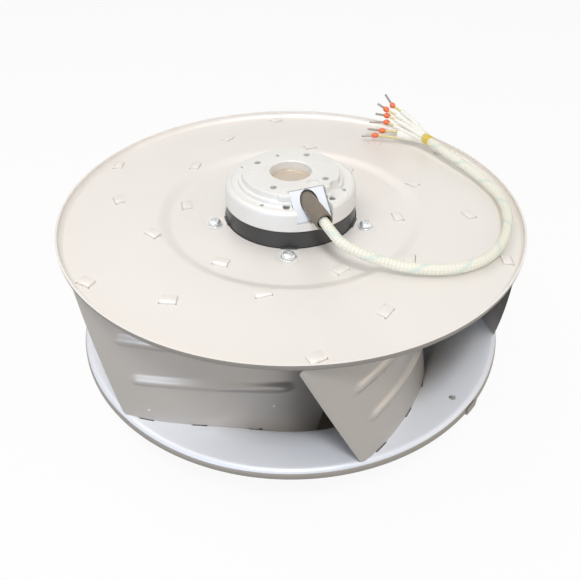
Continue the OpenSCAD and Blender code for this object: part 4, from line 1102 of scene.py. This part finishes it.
# Bearing cap: its flat middle, the thickness of its floor, and the rim's width at its top and foot
CAP_FLAT_R = 2.0
CAP_FLOOR = 1.2
CAP_RIM_W, CAP_RIM_FOOT_W = 1.1, 1.7


def bearing_cap():
    """A shallow pressed cup with a turned-up rim."""
    low, high = (corner.z / MM - PLATE_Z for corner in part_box("bearing_cap"))
    rim_r, floor_h = BEARING_R - SEAT_GAP, low + CAP_FLOOR
    outline = filleted([(CAP_FLAT_R, low, 0), (rim_r, low, 0.5), (rim_r, high, 0.45),
                        (rim_r - CAP_RIM_W, high, 0.4), (rim_r - CAP_RIM_FOOT_W, floor_h, 1.0),
                        (CAP_FLAT_R, floor_h, 0)])
    piece = paint(spun([(0, low)] + outline + [(0, floor_h)], 96), passivated)
    return dress(piece, "bearing_cap_cup", "stator", "cap_metal", "bearing_cap")


stator_flange()
entry_panel()
cable_sleeve()
bearing_cap()

# Carried-over nodes and their finishes
FINISHES = {
    "stator_core": laminations, "slot_insulators": insulation, "stator_windings": copper,
    "thermal_switch": insulation, "preload_spring": spring_steel, "upper_bearing_outer": ground_steel,
    "lower_bearing_outer": ground_steel, "rotor_core": laminations, "rotor_cage": cage_cast,
    "motor_shaft": ground_steel, "shaft_circlip": spring_steel, "upper_bearing_inner": ground_steel,
    "lower_bearing_inner": ground_steel, "upper_bearing_balls": ground_steel,
    "upper_bearing_cage": pressed_brass, "lower_bearing_balls": ground_steel,
    # The balancing clip takes the rim's greyer sheet, a painted shade
    "lower_bearing_cage": pressed_brass, "balance_clip": rim_shade_sheet,
}
for node, finish in FINISHES.items():
    paint(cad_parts[node], finish)

# Floor in metres: white with the object's soft shadow, and a painted shade under the fan
FLOOR_SIZE = 12.0
FLOOR_DROP = 0.0005
# Two discs share the painted shade patch: each one's centre, and where it starts to fade and where it ends.
# They are sized to lie behind the shroud in the front view; lower views from the side show them.
SHADES = [((0.0, 0.0, 0.0), 0.152, 0.182), ((0.0, 0.055, 0.0), 0.188, 0.2035)]
GLOW_SHARE = 0.92
SHADE_PATCH_TONE = "#A89D92"
# The floor's tone in the rays that show it, and in those that light the object
SHOWN_TONE, LIT_TONE = "#F4F4F4", "#505052"


def shown_rays(tree):
    """One for the rays that show a white background, nought for those that light the object."""
    seen = add(tree, "ShaderNodeLightPath")
    direct = add(tree, "ShaderNodeMath", {0: seen.outputs["Is Camera Ray"],
                                          1: seen.outputs["Is Glossy Ray"]}, operation="MAXIMUM")
    return add(tree, "ShaderNodeMath", {0: direct.outputs[0], 1: seen.outputs["Is Transmission Ray"]},
               operation="MAXIMUM")


def floor_paint():
    material = bpy.data.materials.new("white_floor")
    material.use_nodes = True
    tree = material.node_tree
    tree.nodes.clear()
    shown = shown_rays(tree)
    place = add(tree, "ShaderNodeTexCoord").outputs["Object"]
    fades = []
    for centre, start, end in SHADES:
        away = add(tree, "ShaderNodeVectorMath", {0: place, 1: centre}, operation="DISTANCE")
        fades.append(add(tree, "ShaderNodeMapRange", {"Value": away.outputs["Value"], "From Min": start,
                                                      "From Max": end}))
    clear = add(tree, "ShaderNodeMath", {0: fades[0].outputs["Result"], 1: fades[1].outputs["Result"]},
                operation="MAXIMUM")
    open_share = add(tree, "ShaderNodeMath", {0: clear.outputs[0], 1: GLOW_SHARE}, operation="MULTIPLY")
    share = add(tree, "ShaderNodeMath", {0: shown.outputs[0], 1: open_share.outputs[0]},
                operation="MULTIPLY")
    pale = add(tree, "ShaderNodeMix", {"Factor": shown.outputs[0], "A": linear(LIT_TONE),
                                       "B": linear(SHOWN_TONE)}, data_type="RGBA")
    # Inside the discs the floor takes the painted shade tone
    tone = add(tree, "ShaderNodeMix", {"Factor": clear.outputs[0], "A": linear(SHADE_PATCH_TONE),
                                       "B": pale.outputs["Result"]}, data_type="RGBA")
    matt = add(tree, "ShaderNodeBsdfDiffuse", {"Color": tone.outputs["Result"]})
    glow = add(tree, "ShaderNodeEmission", {"Color": linear("#FFFFFF"), "Strength": 1.0})
    both = add(tree, "ShaderNodeMixShader", {0: share.outputs[0], 1: matt.outputs[0], 2: glow.outputs[0]})
    add(tree, "ShaderNodeOutputMaterial", {"Surface": both.outputs[0]})
    return material


floor = start_primitive(bpy.ops.mesh.primitive_plane_add, size=FLOOR_SIZE, location=(0, 0, -FLOOR_DROP))
floor.name = "floor"
paint(floor, floor_paint())

# Studio: a pale room that is darker towards the horizon, with a key lamp high in front, a broad one
# overhead, a cool fill from the left and a weak warm one from the right
ROOM_LOW, ROOM_HIGH = "#77797E", "#F6F5F3"
ROOM_TOP = 0.75
ROOM_STRENGTH = 0.38
# Each lamp's name, place and size in metres, power in watts and colour
LAMPS = [("key", (0.02, -0.87, 1.62), 0.34, 13.2, "#FBFCFF"),
         ("overhead", (-0.75, 0.10, 1.60), 1.1, 8.0, "#FFF7EC"),
         ("cool_fill", (-0.9, -1.4, 0.55), 0.9, 6.0, "#CFE0FF"),
         ("warm_side", (1.25, -0.30, 0.80), 0.8, 3.0, "#FFF2E2")]


def studio_room():
    world = bpy.data.worlds.new("studio")
    world.use_nodes = True
    bpy.context.scene.world = world
    tree = world.node_tree
    tree.nodes.clear()
    way = add(tree, "ShaderNodeTexCoord").outputs["Generated"]
    parts = add(tree, "ShaderNodeSeparateXYZ", {"Vector": way})
    ramp = add(tree, "ShaderNodeMapRange", {"Value": parts.outputs["Z"], "From Max": ROOM_TOP})
    tone = add(tree, "ShaderNodeMix", {"Factor": ramp.outputs["Result"], "A": linear(ROOM_LOW),
                                       "B": linear(ROOM_HIGH)}, data_type="RGBA")
    room = add(tree, "ShaderNodeBackground", {"Color": tone.outputs["Result"], "Strength": ROOM_STRENGTH})
    white = add(tree, "ShaderNodeBackground", {"Color": linear("#FFFFFF"), "Strength": 1.0})
    both = add(tree, "ShaderNodeMixShader", {0: shown_rays(tree).outputs[0], 1: room.outputs[0],
                                             2: white.outputs[0]})
    add(tree, "ShaderNodeOutputWorld", {"Surface": both.outputs[0]})


def soft_lamp(name, place, size, power, colour):
    lamp = bpy.data.objects.new(name, bpy.data.lights.new(name, "AREA"))
    lamp.data.shape = "SQUARE"
    lamp.data.size = size
    lamp.data.energy = power
    lamp.data.color = linear(colour)[:3]
    lamp.location = place
    lamp.visible_camera = False
    lamp.rotation_euler = (LIFT * MM - Vector(place)).to_track_quat("-Z", "Y").to_euler()
    bpy.context.scene.collection.objects.link(lamp)


studio_room()
for settings in LAMPS:
    soft_lamp(*settings)
bpy.context.scene.view_settings.view_transform = "Standard"
